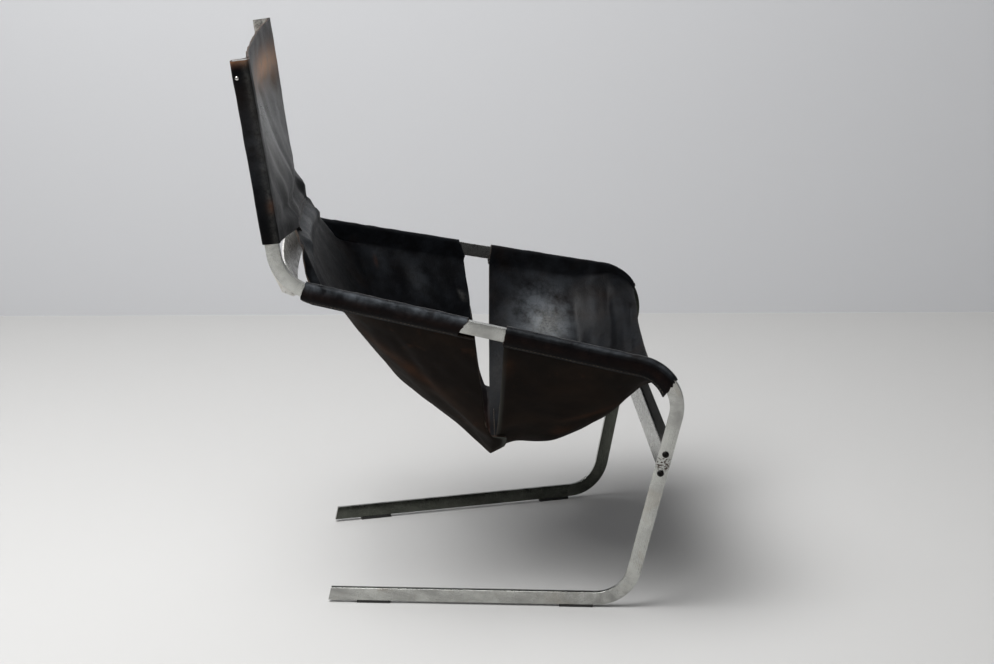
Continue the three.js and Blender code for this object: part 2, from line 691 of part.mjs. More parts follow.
// Rear seat panel: sleeve of one row at a share of the way from the back seam to the keel.
function rearSleeve(share) {
  return armSleeve(-hemDepth).map((offset) => {
    const [across, outer] = offset;
    const inside = across < 0 && outer < halfWidth;
    const low = downShare(offset);
    const slotCut = SLOT_START + (inside ? SLOT_INNER_SHIFT : -SLOT_CUT_SLANT) * Math.min(low, 1);
    const rearCut = SEAT_SLEEVE_END_SLANT * low - SEAT_SLEEVE_BACK_OVER_BEND;
    return sleevePoint(THREE.MathUtils.lerp(rearCut, slotCut, share), offset);
  });
}

// Rear seat panel: hanging point, drawn down under the front panel's edge where the two are sewn.
function rearSling(share, edge) {
  const middle = rearMiddle.getPoint(share);
  const toRear = (1 - share) ** REAR_FADE_POWER;
  const risePower = THREE.MathUtils.lerp(TROUGH_POWER, REAR_EDGE_POWER, toRear);
  const reachPower = THREE.MathUtils.lerp(TROUGH_POWER, REAR_EDGE_REACH_POWER, toRear);
  const besideSlot = frontSleeve(0).pop();
  const keel = frontMiddle.getPoint(0);
  const late = share ** LATE_POWER;
  return (across) => {
    const point = slingPoint(edge, middle, across, risePower, reachPower);
    const sewn = slingPoint(besideSlot, keel, point.y / besideSlot.y, TROUGH_POWER, TROUGH_POWER);
    const open = smoothShare((across - LAP_REACH_SHARE) / SLOT_OPEN_SHARE);
    point.x += (sewn.x - KEEL_STEP_BACK - point.x) * (1 - open) * late;
    const down = KEEL_STEP_DOWN + KEEL_RISE_SHARE * (sewn.x - KEEL_STEP_BACK - point.x);
    const level = smoothShare((across - LAP_REACH_SHARE - LAP_FADE_SHARE) / SLOT_OPEN_SHARE);
    point.z += (sewn.z - down - point.z) * (1 - level) * late;
    return point;
  };
}

function rearRow(share) {
  const sleeve = rearSleeve(share);
  return [...sleeve, ...slingColumns(rearSling(share, sleeve[sleeve.length - 1]))];
}

// Margin of the rear panel, turned forward under the front panel where the keel is sewn.
function keelMarginRow() {
  const [rearmost, next] = [frontGridRow(0), frontGridRow(1)];
  const fold = rearRow(1);
  const middle = fold.length - 1;
  return fold.map((point, i) => {
    const across = Math.min((middle - i) / SLING_STEPS, 1);
    const beside = next[Math.max(i - 1, 0)];
    const sideways = beside.clone().sub(next[Math.min(i + 1, middle)]);
    const lifted = next[i].clone().sub(rearmost[i]).cross(sideways).normalize();
    const under = next[i].clone().addScaledVector(lifted, -LEATHER_THICKNESS - 2 * FIT_GAP);
    const reach = smoothShare((LAP_REACH_SHARE + LAP_FADE_SHARE - across) / LAP_FADE_SHARE);
    return point.clone().lerp(under, THREE.MathUtils.lerp(LAP_LEAST_SHARE, 1, reach));
  });
}

function seatRearPanel() {
  const grid = [];
  for (let r = 0; r <= SEAT_ROWS; r += 1) {
    grid.push(wholeRow(rearRow(r / SEAT_ROWS)));
  }
  grid.push(wholeRow(keelMarginRow()));
  return sheetSolid(grid, LEATHER_THICKNESS);
}

// Back panel

const backTopAlong = -(rearBendLength + postStraight);
const backFootAlong = -(rearBendLength + BACK_SLEEVE_END_ABOVE_BEND);
const backSagCurve = new THREE.CatmullRomCurve3(BACK_SAG_SHARES.map(([down, sag]) => new THREE.Vector3(down, sag, 0)));

// From the tail behind the panel, round the post's inner, rear and outer faces to its front.
function postSleeve() {
  const rearArc = [];
  const centre = halfWidth - SLEEVE_CROWN_SETBACK;
  for (let i = 0; i <= 2 * CROWN_STEPS; i += 1) {
    const angle = radians(180 * (1 + i / (2 * CROWN_STEPS)));
    rearArc.push([sleeveOffset * Math.cos(angle), sleeveOffset * Math.sin(angle) - centre]);
  }
  const front = halfWidth + FIT_GAP + LEATHER_THICKNESS / 2;
  const frontArc = [];
  const round = sleeveOffset - BAR_THICKNESS / 2 + BAR_EDGE_EASE;
  for (let i = 0; i <= CROWN_STEPS; i += 1) {
    const angle = radians(90 * i / CROWN_STEPS);
    frontArc.push([sleeveOffset - round + round * Math.cos(angle), front - round + round * Math.sin(angle)]);
  }
  const tailBehind = front - LEATHER_THICKNESS - FIT_GAP;
  return [
    [-sleeveOffset - BACK_HEM_TAIL, tailBehind],
    [-sleeveOffset - LEATHER_THICKNESS, tailBehind - LEATHER_THICKNESS],
    [-sleeveOffset, 0],
    ...rearArc,
    ...frontArc,
    [-sleeveOffset, front],
  ];
}

// Sewn lap of the back panel: a point in front of the seat's rear edge, at a distance below it.
function seamPoint(y, below) {
  const seatEdge = rearSleeve(0).pop();
  const onEdge = rearSling(0, seatEdge)(Math.min(y / seatEdge.y, 1));
  const fall = rearMiddle.getPoint(1 / SEAT_ROWS).sub(rearMiddle.getPoint(0)).normalize();
  const forward = new THREE.Vector3(-fall.z, 0, fall.x);
  return onEdge.addScaledVector(fall, below).addScaledVector(forward, LEATHER_THICKNESS + FIT_GAP);
}

function backRow(share, lapShare) {
  const along = THREE.MathUtils.lerp(backTopAlong, backFootAlong, share);
  const sleeve = postSleeve().map((offset) => sleevePoint(along, offset));
  const edge = sleeve[sleeve.length - 1];
  const below = BACK_SEAM_LAP * (1 - (1 - share) / lapShare);
  const hung = THREE.MathUtils.clamp(share / (1 - lapShare), 0, 1);
  const sag = BACK_SAG * backSagCurve.getPoint(hung).y;
  const dip = BACK_TOP_DIP * (1 - smoothShare(share / lapShare));
  const pull = smoothShare(1 - (1 - hung) / (2 * lapShare));
  return [...sleeve, ...slingColumns((across) => {
    const y = edge.y * across;
    const round = 1 - across * across;
    const free = new THREE.Vector3(edge.x + sag * round, y, edge.z - dip * round);
    const spread = (y - BACK_SEAM_HALF_WIDTH) / (BACK_FREE_EDGE_HALF_WIDTH - BACK_SEAM_HALF_WIDTH);
    const sewn = 1 - smoothShare(spread);
    const seam = seamPoint(y, below);
    const toEdge = THREE.MathUtils.clamp((y - BACK_FREE_EDGE_HALF_WIDTH) / (edge.y - BACK_FREE_EDGE_HALF_WIDTH), 0, 1);
    const loose = new THREE.Vector3(
      THREE.MathUtils.lerp(seamPoint(BACK_FREE_EDGE_HALF_WIDTH, 0).x, edge.x, toEdge), y,
      THREE.MathUtils.lerp(seamTop.y + BACK_SEAM_LAP - below, edge.z, toEdge));
    return free.lerp(loose.lerp(seam, sewn), pull);
  })];
}

function backPanel() {
  const lapShare = BACK_SEAM_LAP / (postStraight - BACK_SLEEVE_END_ABOVE_BEND);
  const grid = [];
  for (let r = 0; r < BACK_ROWS; r += 1) {
    grid.push(wholeRow(backRow((1 - lapShare) * r / (BACK_ROWS - 1), lapShare)));
  }
  grid.push(wholeRow(backRow(1, lapShare)));
  const holes = [1, -1].map((side) => {
    const tool = cylinderAcross(screwPoint, SCREW_HOLE_DIAMETER / 2, -BAR_THICKNESS / 2, BAR_THICKNESS);
    tool.applyMatrix4(leftPlane.matrixWorld);
    return side > 0 ? tool : mirrored(tool);
  });
  return cut(sheetSolid(grid, LEATHER_THICKNESS), holes);
}

// Chair

const chair = new THREE.Group();
const sides = [['left', 1], ['right', -1]];

for (const [word, side] of sides) {
  const { toe, lean } = standFrame(side);
  lean.add(named(`side_frame_${word}`, sideFrame(side), brushedSteel()));
  boltPoints.forEach((point, i) => {
    const place = i === 0 ? 'upper' : 'lower';
    lean.add(placeOnFrame(named(`brace_bolt_${place}_${word}`, bolt(), blackOxide()), point, side));
    lean.add(placeOnFrame(named(`brace_nut_${place}_${word}`, nut(), blackOxide()), point, side));
  });
  lean.add(placeOnFrame(named(`sleeve_screw_${word}`, sleeveScrew(), brightSteel()), screwPoint, side));
  chair.add(toe);
  const facing = (geometry) => (side > 0 ? geometry : mirrored(geometry));
  chair.add(named(`glide_front_${word}`, facing(glide(FRONT_GLIDE_SETBACK, false)), blackPlastic()));
  chair.add(named(`glide_rear_${word}`, facing(glide(REAR_GLIDE_SETBACK, true)), blackPlastic()));
}

chair.add(named('front_cross_brace', frontBrace(), brushedSteel()));
chair.add(named('rear_cross_brace', rearBrace(), brushedSteel()));
chair.add(named('back_panel', backPanel(), agedLeather()));
chair.add(named('seat_rear_panel', seatRearPanel(), agedLeather()));
chair.add(named('seat_front_panel', seatFrontPanel(), agedLeather()));

// The origin lies on the floor under the middle of the whole chair.
const box = new THREE.Box3().setFromObject(chair);
const middle = box.getCenter(new THREE.Vector3());
chair.position.set(-middle.x, -middle.y, -box.min.z);

export default chair;
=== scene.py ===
"""Leather sling lounge chair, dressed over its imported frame.

Two flat steel bars, each bent into an open C, carry three panels of thick leather: a back sleeved over the
posts and a seat of two panels sleeved over the arms and sewn together across the keel. Two cross braces hold
the frames apart. All lengths are metres, +Z up, +X to the front and +Y to the sitter's left.
"""

import logging  # noqa: E402
import math  # noqa: E402
from dataclasses import dataclass, field, replace  # noqa: E402
from enum import Enum  # noqa: E402
from functools import cached_property  # noqa: E402
from typing import Iterable, Sequence  # noqa: E402

import bmesh  # noqa: E402
import bpy  # noqa: E402
import numpy as np  # noqa: E402
from mathutils import Matrix, Vector  # noqa: E402


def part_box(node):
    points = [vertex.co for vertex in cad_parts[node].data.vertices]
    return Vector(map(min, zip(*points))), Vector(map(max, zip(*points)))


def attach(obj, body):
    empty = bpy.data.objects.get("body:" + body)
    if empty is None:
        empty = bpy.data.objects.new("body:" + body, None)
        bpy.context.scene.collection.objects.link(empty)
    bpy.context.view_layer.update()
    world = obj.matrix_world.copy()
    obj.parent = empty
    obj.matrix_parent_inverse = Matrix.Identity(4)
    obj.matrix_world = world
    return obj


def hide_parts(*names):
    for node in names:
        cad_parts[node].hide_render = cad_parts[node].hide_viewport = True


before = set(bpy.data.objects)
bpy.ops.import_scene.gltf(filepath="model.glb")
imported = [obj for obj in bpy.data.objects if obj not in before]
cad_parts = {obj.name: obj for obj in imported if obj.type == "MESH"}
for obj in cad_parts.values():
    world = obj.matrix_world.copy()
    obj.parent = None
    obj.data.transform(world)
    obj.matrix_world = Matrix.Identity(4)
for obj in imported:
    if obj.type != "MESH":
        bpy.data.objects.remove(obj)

log = logging.getLogger("sling_chair")

Colour = tuple[float, float, float]
Socket = bpy.types.NodeSocket
Feed = float | Colour | Socket
Line = tuple[np.ndarray, np.ndarray]

# Angles in degrees, the distance in metres below which points are one, and a guard against division by zero
QUARTER_TURN = 90.0
HALF_TURN = 180.0
SAME_POINT = 1e-6
TINY = 1e-12


def smooth_share(share: np.ndarray | float) -> np.ndarray:
    """Ease shares of 0 to 1 in and out, and clamp what lies beyond."""
    s = np.clip(share, 0.0, 1.0)
    return s * s * (3 - 2 * s)


def mix(a: np.ndarray | float, b: np.ndarray | float, share: np.ndarray | float) -> np.ndarray:
    """Blend from a to b by a share."""
    return a + (b - a) * share


def curve_through(points: Sequence[Sequence[float]], share: float) -> np.ndarray:
    """Follow a centripetal curve through points, with equal shares between neighbours.

    Args:
        points: Two or more points of any number of coordinates.
        share: From 0 at the first point to 1 at the last.

    Returns:
        The point on the curve.
    """
    knots = np.asarray(points, float)
    last = len(knots) - 1
    place = share * last
    i = min(int(place), last - 1)
    w = place - i
    p1, p2 = knots[i], knots[i + 1]
    p0 = knots[i - 1] if i > 0 else 2 * knots[0] - knots[1]
    p3 = knots[i + 2] if i + 2 <= last else 2 * knots[last] - knots[last - 1]
    d0, d1, d2 = (float(np.linalg.norm(b - a)) ** 0.5 or 1.0 for a, b in ((p0, p1), (p1, p2), (p2, p3)))
    t1 = ((p1 - p0) / d0 - (p2 - p0) / (d0 + d1) + (p2 - p1) / d1) * d1
    t2 = ((p2 - p1) / d1 - (p3 - p1) / (d1 + d2) + (p3 - p2) / d2) * d1
    return p1 + t1 * w + (3 * (p2 - p1) - 2 * t1 - t2) * w**2 + (2 * (p1 - p2) + t1 + t2) * w**3


def waves(
    a: np.ndarray,
    b: np.ndarray,
    seed: int,
    size: float,
    count: int = 9,
    spread: tuple[float, float] = (0.6, 1.7),
) -> np.ndarray:
    """Make soft irregular waves over a sheet.

    Args:
        a: Place along the sheet.
        b: Place across the sheet.
        seed: Fixes the pattern.
        size: Typical length of a wave.
        count: How many plane waves are added up.
        spread: Shortest and longest wave, as shares of the size.

    Returns:
        Heights of about -1 to 1.
    """
    rng = np.random.default_rng(seed)
    total = np.zeros(np.broadcast(a, b).shape)
    for _ in range(count):
        angle, phase = rng.uniform(0, 2 * math.pi, 2)
        length = size * rng.uniform(*spread)
        total += np.sin(2 * math.pi * (a * math.cos(angle) + b * math.sin(angle)) / length + phase)
    return total / math.sqrt(count)


# Materials


@dataclass(frozen=True)
class Cloud:
    """Cloudy noise: features per metre, octaves, share of each finer octave, and distortion."""

    scale: float
    detail: float = 3.0
    rough: float = 0.5
    warp: float = 0.0


@dataclass(frozen=True)
class Ramp:
    """Range of values and the range that it becomes."""

    low: float
    high: float
    to_low: float = 0.0
    to_high: float = 1.0


@dataclass(frozen=True)
class Bump:
    """Fine relief: its strength, and the real height of 1 in metres."""

    strength: float
    depth: float


class Combine(Enum):
    """How two values become one; a sum or a difference is kept within 0 and 1."""

    SUM = "ADD"
    DIFFERENCE = "SUBTRACT"
    PRODUCT = "MULTIPLY"
    LARGER = "MAXIMUM"


class Shader:
    """Builder of one procedural material."""

    def __init__(self, name: str) -> None:
        """Start an empty material with one principled shader.

        Args:
            name: Name of the material.
        """
        self.material = bpy.data.materials.new(name)
        self.material.use_nodes = True
        self.tree = self.material.node_tree
        self.tree.nodes.clear()
        self.surface = self.add("BsdfPrincipled")
        self.output = self.add("OutputMaterial")
        self.feed(self.output, self.surface.outputs[0])
        self.places = self.add("TexCoord")

    @property
    def object_place(self) -> Socket:
        """Place on the whole chair, in metres."""
        return self.places.outputs["Object"]

    @property
    def flat_place(self) -> Socket:
        """Place on the piece's flat pattern, in metres."""
        return self.places.outputs["UV"]

    def add(self, kind: str) -> bpy.types.Node:
        """Add a node of a kind, named without its first word."""
        return self.tree.nodes.new(f"ShaderNode{kind}")

    def join(self, value: Feed, target: Socket) -> None:
        """Link a socket or set a plain value.

        Args:
            value: What the input gets.
            target: The input.
        """
        if isinstance(value, bpy.types.NodeSocket):
            self.tree.links.new(value, target)
        elif isinstance(value, tuple) and len(target.default_value) > len(value):
            target.default_value = (*value, 1.0)
        else:
            target.default_value = value

    def feed(self, node: bpy.types.Node, *first: Feed, **named: Feed) -> bpy.types.Node:
        """Set or link inputs of a node.

        Args:
            node: The node.
            *first: Values or sockets of its first inputs.
            **named: Value or socket by input name, with underscores for spaces.

        Returns:
            The node.
        """
        for value, target in zip(first, node.inputs):
            self.join(value, target)
        for name, value in named.items():
            self.join(value, node.inputs[name.replace("_", " ")])
        return node

    def finish(self, **values: Feed) -> bpy.types.Material:
        """Set the principled shader's inputs by name and give the material."""
        self.feed(self.surface, **values)
        return self.material

    def stretch(self, place: Socket, scale: Colour) -> Socket:
        """Stretch a pattern's place by a scale along each axis."""
        return self.feed(self.add("Mapping"), Vector=place, Scale=scale).outputs[0]

    def noise(self, place: Socket, cloud: Cloud) -> Socket:
        """Add cloudy noise of 0 to 1, mostly near 0.5."""
        sizes = dict(Scale=cloud.scale, Detail=cloud.detail, Roughness=cloud.rough, Distortion=cloud.warp)
        return self.feed(self.add("TexNoise"), Vector=place, **sizes).outputs["Fac"]

    def cells(self, place: Socket, scale: float, edges: bool = False) -> Socket:
        """Add a cell pattern.

        Args:
            place: Place to read.
            scale: Cells per metre.
            edges: Whether to return the distance to a cell's edge instead of to its middle.

        Returns:
            The distance.
        """
        node = self.add("TexVoronoi")
        node.feature = "DISTANCE_TO_EDGE" if edges else "F1"
        return self.feed(node, Vector=place, Scale=scale).outputs["Distance"]

    def warped(self, place: Socket, scale: float, reach: float) -> Socket:
        """Push a place about by noise, so that a pattern loses its straight lines.

        Args:
            place: Place to push.
            scale: Features of the push per metre.
            reach: Farthest push in metres.

        Returns:
            The pushed place.
        """
        noise = self.feed(self.add("TexNoise"), Vector=place, Scale=scale)
        push = self.add("VectorMath")
        push.operation = "MULTIPLY_ADD"
        return self.feed(push, noise.outputs["Color"], (2 * reach,) * 3, place).outputs[0]

    def levels(self, value: Socket, ramp: Ramp) -> Socket:
        """Map a range of values to another, clamped."""
        ends = dict(From_Min=ramp.low, From_Max=ramp.high, To_Min=ramp.to_low, To_Max=ramp.to_high)
        return self.feed(self.add("MapRange"), Value=value, **ends).outputs[0]

    def cloudy(self, cloud: Cloud, ramp: Ramp) -> Socket:
        """Add cloudy noise over the chair, with its levels set."""
        return self.levels(self.noise(self.object_place, cloud), ramp)

    def math(self, how: Combine, a: Feed, b: Feed) -> Socket:
        """Combine two values.

        Args:
            how: What is made of them.
            a: First value.
            b: Second value.

        Returns:
            The result.
        """
        node = self.add("Math")
        node.operation = how.value
        node.use_clamp = how in {Combine.SUM, Combine.DIFFERENCE}
        return self.feed(node, a, b).outputs[0]

    def times(self, a: Feed, b: Feed) -> Socket:
        """Multiply two values."""
        return self.math(Combine.PRODUCT, a, b)

    def mingled(self, a: Socket, b: Socket, share: float) -> Socket:
        """Mix two patterns by the share of the second."""
        return self.math(Combine.SUM, self.times(a, 1 - share), self.times(b, share))

    def away(self, point: Colour) -> Socket:
        """Measure the distance from a point of the chair.

        Args:
            point: The point.

        Returns:
            The distance in metres.
        """
        node = self.add("VectorMath")
        node.operation = "DISTANCE"
        return self.feed(node, self.object_place, point).outputs["Value"]

    def height(self) -> Socket:
        """Read the height on the chair, in metres."""
        return self.feed(self.add("SeparateXYZ"), self.object_place).outputs[2]

    def blend(self, share: Feed, a: Feed, b: Feed) -> Socket:
        """Blend two colours.

        Args:
            share: How far from a to b.
            a: First colour.
            b: Second colour.

        Returns:
            The blended colour.
        """
        node = self.add("Mix")
        node.data_type = "RGBA"
        colours = {"A_Color": a, "B_Color": b, "Factor_Float": share}
        for target in node.inputs:
            if target.identifier in colours:
                self.join(colours[target.identifier], target)
        return next(socket for socket in node.outputs if socket.identifier == "Result_Color")

    def marks(self, name: str) -> list[Socket]:
        """Read a painted attribute of the mesh.

        Args:
            name: Name of the attribute.

        Returns:
            Its red, green, blue and alpha channels.
        """
        node = self.add("Attribute")
        node.attribute_name = name
        split = self.feed(self.add("SeparateColor"), node.outputs["Color"])
        return [*split.outputs, node.outputs["Alpha"]]

    def open_from_behind(self) -> None:
        """Let the surface be looked through from its reverse, so that the stage hides nothing."""
        side = self.add("NewGeometry").outputs["Backfacing"]
        clear = self.add("BsdfTransparent").outputs[0]
        either = self.feed(self.add("MixShader"), side, self.surface.outputs[0], clear)
        self.feed(self.output, either.outputs[0])

    def bump(self, height: Socket, bump: Bump, under: Socket | None = None) -> Socket:
        """Turn heights into relief.

        Args:
            height: Heights of 0 to 1.
            bump: What the relief is like.
            under: Relief below this one.

        Returns:
            The normal.
        """
        node = self.feed(self.add("Bump"), Strength=bump.strength, Distance=bump.depth, Height=height)
        if under is not None:
            self.feed(node, Normal=under)
        return node.outputs[0]


@dataclass(frozen=True)
class BrushedSteel:
    """Flat bar or strip ground and brushed along its length."""

    name: str = "brushed_steel"
    pale: Colour = (0.53, 0.535, 0.508)
    dark: Colour = (0.31, 0.31, 0.296)
    tone: Ramp = Ramp(0.34, 0.60)
    metal: float = 1.0
    follows_bar: bool = True
    brushing: Cloud = Cloud(900, 4, 0.65)
    brushing_bump: Bump = Bump(0.12, 0.0002)
    bar_stretch: Colour = (3, 1, 1)
    strip_stretch: Colour = (1, 0.03, 1)
    streaks: Cloud = Cloud(60)
    streak_stretch: Colour = (1.6, 1, 1)
    streak_part: float = 0.35
    patches: Cloud = Cloud(25)
    clouds: Cloud = Cloud(16, 4, 0.6)
    cloud_part: float = 0.5
    roughness: Ramp = Ramp(0.3, 0.7, 0.2, 0.34)
    hands: Cloud = Cloud(23, 4, 0.6, 0.5)
    hand_levels: Ramp = Ramp(0.55, 0.68, 0.0, 0.35)
    hand_tint: Colour = (1.12, 1.0, 0.88)
    rust: Colour = (0.058, 0.036, 0.025)
    rust_share: float = 0.0
    rust_below: float | None = None
    rust_fade: float = 0.02
    rust_at: tuple[Colour, ...] = ()
    rust_reach: Ramp = Ramp(0.0175, 0.012)
    rust_metal: float = 0.15
    rust_rough: float = 0.4
    rust_bump: Bump = Bump(0.5, 0.0005)
    spots: Cloud = Cloud(90, 5, 0.7, 0.4)
    spot_levels: Ramp = Ramp(0.72, 0.80)
    pits: Cloud = Cloud(260, 4, 0.7)
    pit_levels: Ramp = Ramp(0.56, 0.72)
    pit_rust: Ramp = Ramp(0.0, 0.5, 0.35, 1.0)
    specks: Cloud = Cloud(300, 3, 0.6)
    speck_levels: Ramp = Ramp(0.525, 0.565)

    def make(self) -> bpy.types.Material:
        """Build the material.

        Returns:
            The material.
        """
        s = Shader(self.name)
        if self.follows_bar:
            lines = s.noise(s.stretch(s.flat_place, self.bar_stretch), self.brushing)
            streaks = s.noise(s.stretch(s.flat_place, self.streak_stretch), self.streaks)
        else:
            lines = s.noise(s.stretch(s.object_place, self.strip_stretch), self.brushing)
            streaks = s.noise(s.object_place, self.patches)
        clouds = s.noise(s.object_place, self.clouds)
        tone = s.levels(s.mingled(clouds, streaks, self.streak_part), self.tone)
        colour = s.blend(tone, self.dark, self.pale)
        handled = tuple(c * k for c, k in zip(self.dark, self.hand_tint))
        colour = s.blend(s.cloudy(self.hands, self.hand_levels), colour, handled)
        rough = s.levels(s.mingled(lines, clouds, self.cloud_part), self.roughness)
        metal: Feed = self.metal
        relief = s.bump(lines, self.brushing_bump)
        if self.rust_share > 0 or self.rust_at:
            rust = self.rusted(s)
            colour = s.blend(rust, colour, self.rust)
            rough = s.math(Combine.SUM, rough, s.times(rust, self.rust_rough))
            metal = s.levels(rust, Ramp(0.0, 1.0, self.metal, self.rust_metal))
            relief = s.bump(rust, self.rust_bump, relief)
        return s.finish(Base_Color=colour, Metallic=metal, Roughness=rough, Normal=relief)

    def rusted(self, s: Shader) -> Socket:
        """Tell where the steel has rusted: in spots all over, and in specks about some points.

        Args:
            s: The material in the making.

        Returns:
            The share of rust.
        """
        low, high = (end - self.rust_share for end in (self.spot_levels.low, self.spot_levels.high))
        rust = s.cloudy(self.spots, Ramp(low, high))
        if self.rust_below is not None:
            fade = Ramp(self.rust_below + self.rust_fade, self.rust_below - self.rust_fade)
            rust = s.times(rust, s.levels(s.height(), fade))
        rust = s.times(rust, s.levels(s.cloudy(self.pits, self.pit_levels), self.pit_rust))
        specks = s.cloudy(self.specks, self.speck_levels)
        for point in self.rust_at:
            rust = s.math(Combine.LARGER, rust, s.times(s.levels(s.away(point), self.rust_reach), specks))
        return rust


@dataclass(frozen=True)
class PlainMetal:
    """Small turned or plated piece."""

    name: str
    colour: Colour
    worn: Colour
    roughness: float
    metal: float = 0.9
    ior: float = 1.45
    clouds: Cloud = Cloud(420, 4, 0.65)
    wear_levels: Ramp = Ramp(0.52, 0.68)
    rough_levels: Ramp = Ramp(0.3, 0.7, 0.8, 1.3)
    fine: Cloud = Cloud(1800, 2)
    fine_bump: Bump = Bump(0.2, 0.0001)

    def make(self) -> bpy.types.Material:
        """Build the material.

        Returns:
            The material.
        """
        s = Shader(self.name)
        clouds = s.noise(s.object_place, self.clouds)
        least, most = (end * self.roughness for end in (self.rough_levels.to_low, self.rough_levels.to_high))
        return s.finish(
            Base_Color=s.blend(s.levels(clouds, self.wear_levels), self.colour, self.worn),
            Metallic=self.metal,
            Roughness=s.levels(clouds, replace(self.rough_levels, to_low=least, to_high=most)),
            Normal=s.bump(s.noise(s.object_place, self.fine), self.fine_bump),
            IOR=self.ior,
        )


@dataclass(frozen=True)
class GlidePlastic:
    """Hard black strip under a runner."""

    name: str = "glide_plastic"
    black: Colour = (0.012, 0.012, 0.012)
    scuffed: Colour = (0.07, 0.065, 0.06)
    scuffs: Cloud = Cloud(220, 4, 0.7)
    scuff_stretch: Colour = (1, 4, 4)
    scuff_levels: Ramp = Ramp(0.5, 0.75)
    roughness: Ramp = Ramp(0.3, 0.7, 0.45, 0.75)
    scuff_bump: Bump = Bump(0.2, 0.0003)

    def make(self) -> bpy.types.Material:
        """Build the material.

        Returns:
            The material.
        """
        s = Shader(self.name)
        scuffs = s.noise(s.stretch(s.object_place, self.scuff_stretch), self.scuffs)
        return s.finish(
            Base_Color=s.blend(s.levels(scuffs, self.scuff_levels), self.black, self.scuffed),
            Roughness=s.levels(scuffs, self.roughness),
            Normal=s.bump(scuffs, self.scuff_bump),
        )


@dataclass(frozen=True)
class GrainLeather:
    """Grain side of old saddle leather: near black, pale or brown where hands and backs have worn it, and
    pale where highlights and sheen are painted.
    """

    name: str = "leather_grain"
    deep: Colour = (0.0018, 0.0020, 0.0026)
    bloom: Colour = (0.0052, 0.0062, 0.0080)
    brown: Colour = (0.0062, 0.0035, 0.0024)
    # Pale colour of dust, also used for painted sheen and highlights.
    sheen_and_dust: Colour = (0.095, 0.106, 0.119)
    # Pale colour of wear, also used for painted highlights along ridges and hems.
    rubbed_and_highlight: Colour = (0.25, 0.247, 0.230)
    stain: Colour = (0.13, 0.052, 0.026)
    bare: Colour = (0.80, 0.46, 0.27)
    ior: float = 1.23
    broad: Cloud = Cloud(9, 5, 0.6, 0.3)
    brown_levels: Ramp = Ramp(0.5, 0.72, 0.0, 0.8)
    mottle: Cloud = Cloud(34, 5, 0.62)
    bloom_levels: Ramp = Ramp(0.42, 0.7)
    sheen_and_dust_levels: Ramp = Ramp(0.3, 0.6)
    stain_levels: Ramp = Ramp(0.3, 0.62, 0.35, 1.0)
    bare_levels: Ramp = Ramp(0.25, 0.55, 0.5, 1.0)
    mottle_bump: Bump = Bump(0.10, 0.0045)
    grit: Cloud = Cloud(240, 3, 0.6)
    rub_and_highlight_levels: Ramp = Ramp(0.3, 0.62, 0.25, 1.0)
    grit_part: float = 0.4
    crack_scale: float = 85
    crack_warp: tuple[float, float] = (50, 0.006)
    crack_levels: Ramp = Ramp(0.0, 0.09)
    crack_sheen_and_dust: Ramp = Ramp(0.0, 1.0, 0.78, 1.0)
    crack_bump: Bump = Bump(0.22, 0.0006)
    pebble_scale: float = 620
    pebble_warp: tuple[float, float] = (300, 0.0006)
    pebble_bump: Bump = Bump(0.35, 0.0004)
    wrinkles: Cloud = Cloud(85, 4, 0.6, 0.5)
    wrinkle_stretch: Colour = (1.0, 0.4, 1.0)
    wrinkle_bump: Bump = Bump(0.045, 0.0022)
    roughness: Ramp = Ramp(0.35, 0.65, 0.42, 0.60)
    polish_gloss: float = 0.22
    rub_rough: float = 0.12

    def make(self) -> bpy.types.Material:
        """Build the material.

        Returns:
            The material.
        """
        s = Shader(self.name)
        # The fourth channel, bloom, carries dust and painted sheen and highlights.
        rub_and_highlight, stain, polish, bloom = s.marks("marks")
        mottle = s.noise(s.object_place, self.mottle)
        grit = s.noise(s.object_place, self.grit)
        tone = s.blend(s.levels(mottle, self.bloom_levels), self.deep, self.bloom)
        tone = s.blend(s.cloudy(self.broad, self.brown_levels), tone, self.brown)
        crackle = s.cells(s.warped(s.object_place, *self.crack_warp), self.crack_scale, edges=True)
        cracks = s.levels(crackle, self.crack_levels)
        # Pale marks: dust, and painted sheen and highlights.
        sheen_and_dust_spread = s.times(s.levels(mottle, self.sheen_and_dust_levels), s.levels(cracks, self.crack_sheen_and_dust))
        tone = s.blend(s.times(bloom, sheen_and_dust_spread), tone, self.sheen_and_dust)
        # Pale rubbed marks: wear, and painted highlights along ridges and hems.
        rubbed_and_highlight = s.times(rub_and_highlight, s.levels(grit, self.rub_and_highlight_levels))
        tone = s.blend(rubbed_and_highlight, tone, self.rubbed_and_highlight)
        tone = s.blend(s.times(stain, s.levels(mottle, self.stain_levels)), tone, self.stain)
        bare = s.times(s.times(rub_and_highlight, stain), s.levels(mottle, self.bare_levels))
        tone = s.blend(bare, tone, self.bare)
        pebble = s.cells(s.warped(s.object_place, *self.pebble_warp), self.pebble_scale)
        wrinkles = s.noise(s.stretch(s.flat_place, self.wrinkle_stretch), self.wrinkles)
        relief = s.bump(pebble, self.pebble_bump)
        relief = s.bump(cracks, self.crack_bump, relief)
        relief = s.bump(wrinkles, self.wrinkle_bump, relief)
        relief = s.bump(mottle, self.mottle_bump, relief)
        rough = s.levels(s.mingled(mottle, grit, self.grit_part), self.roughness)
        rough = s.math(Combine.DIFFERENCE, rough, s.times(polish, self.polish_gloss))
        rough = s.math(Combine.SUM, rough, s.times(rubbed_and_highlight, self.rub_rough))
        return s.finish(Base_Color=tone, Roughness=rough, Normal=relief, IOR=self.ior)


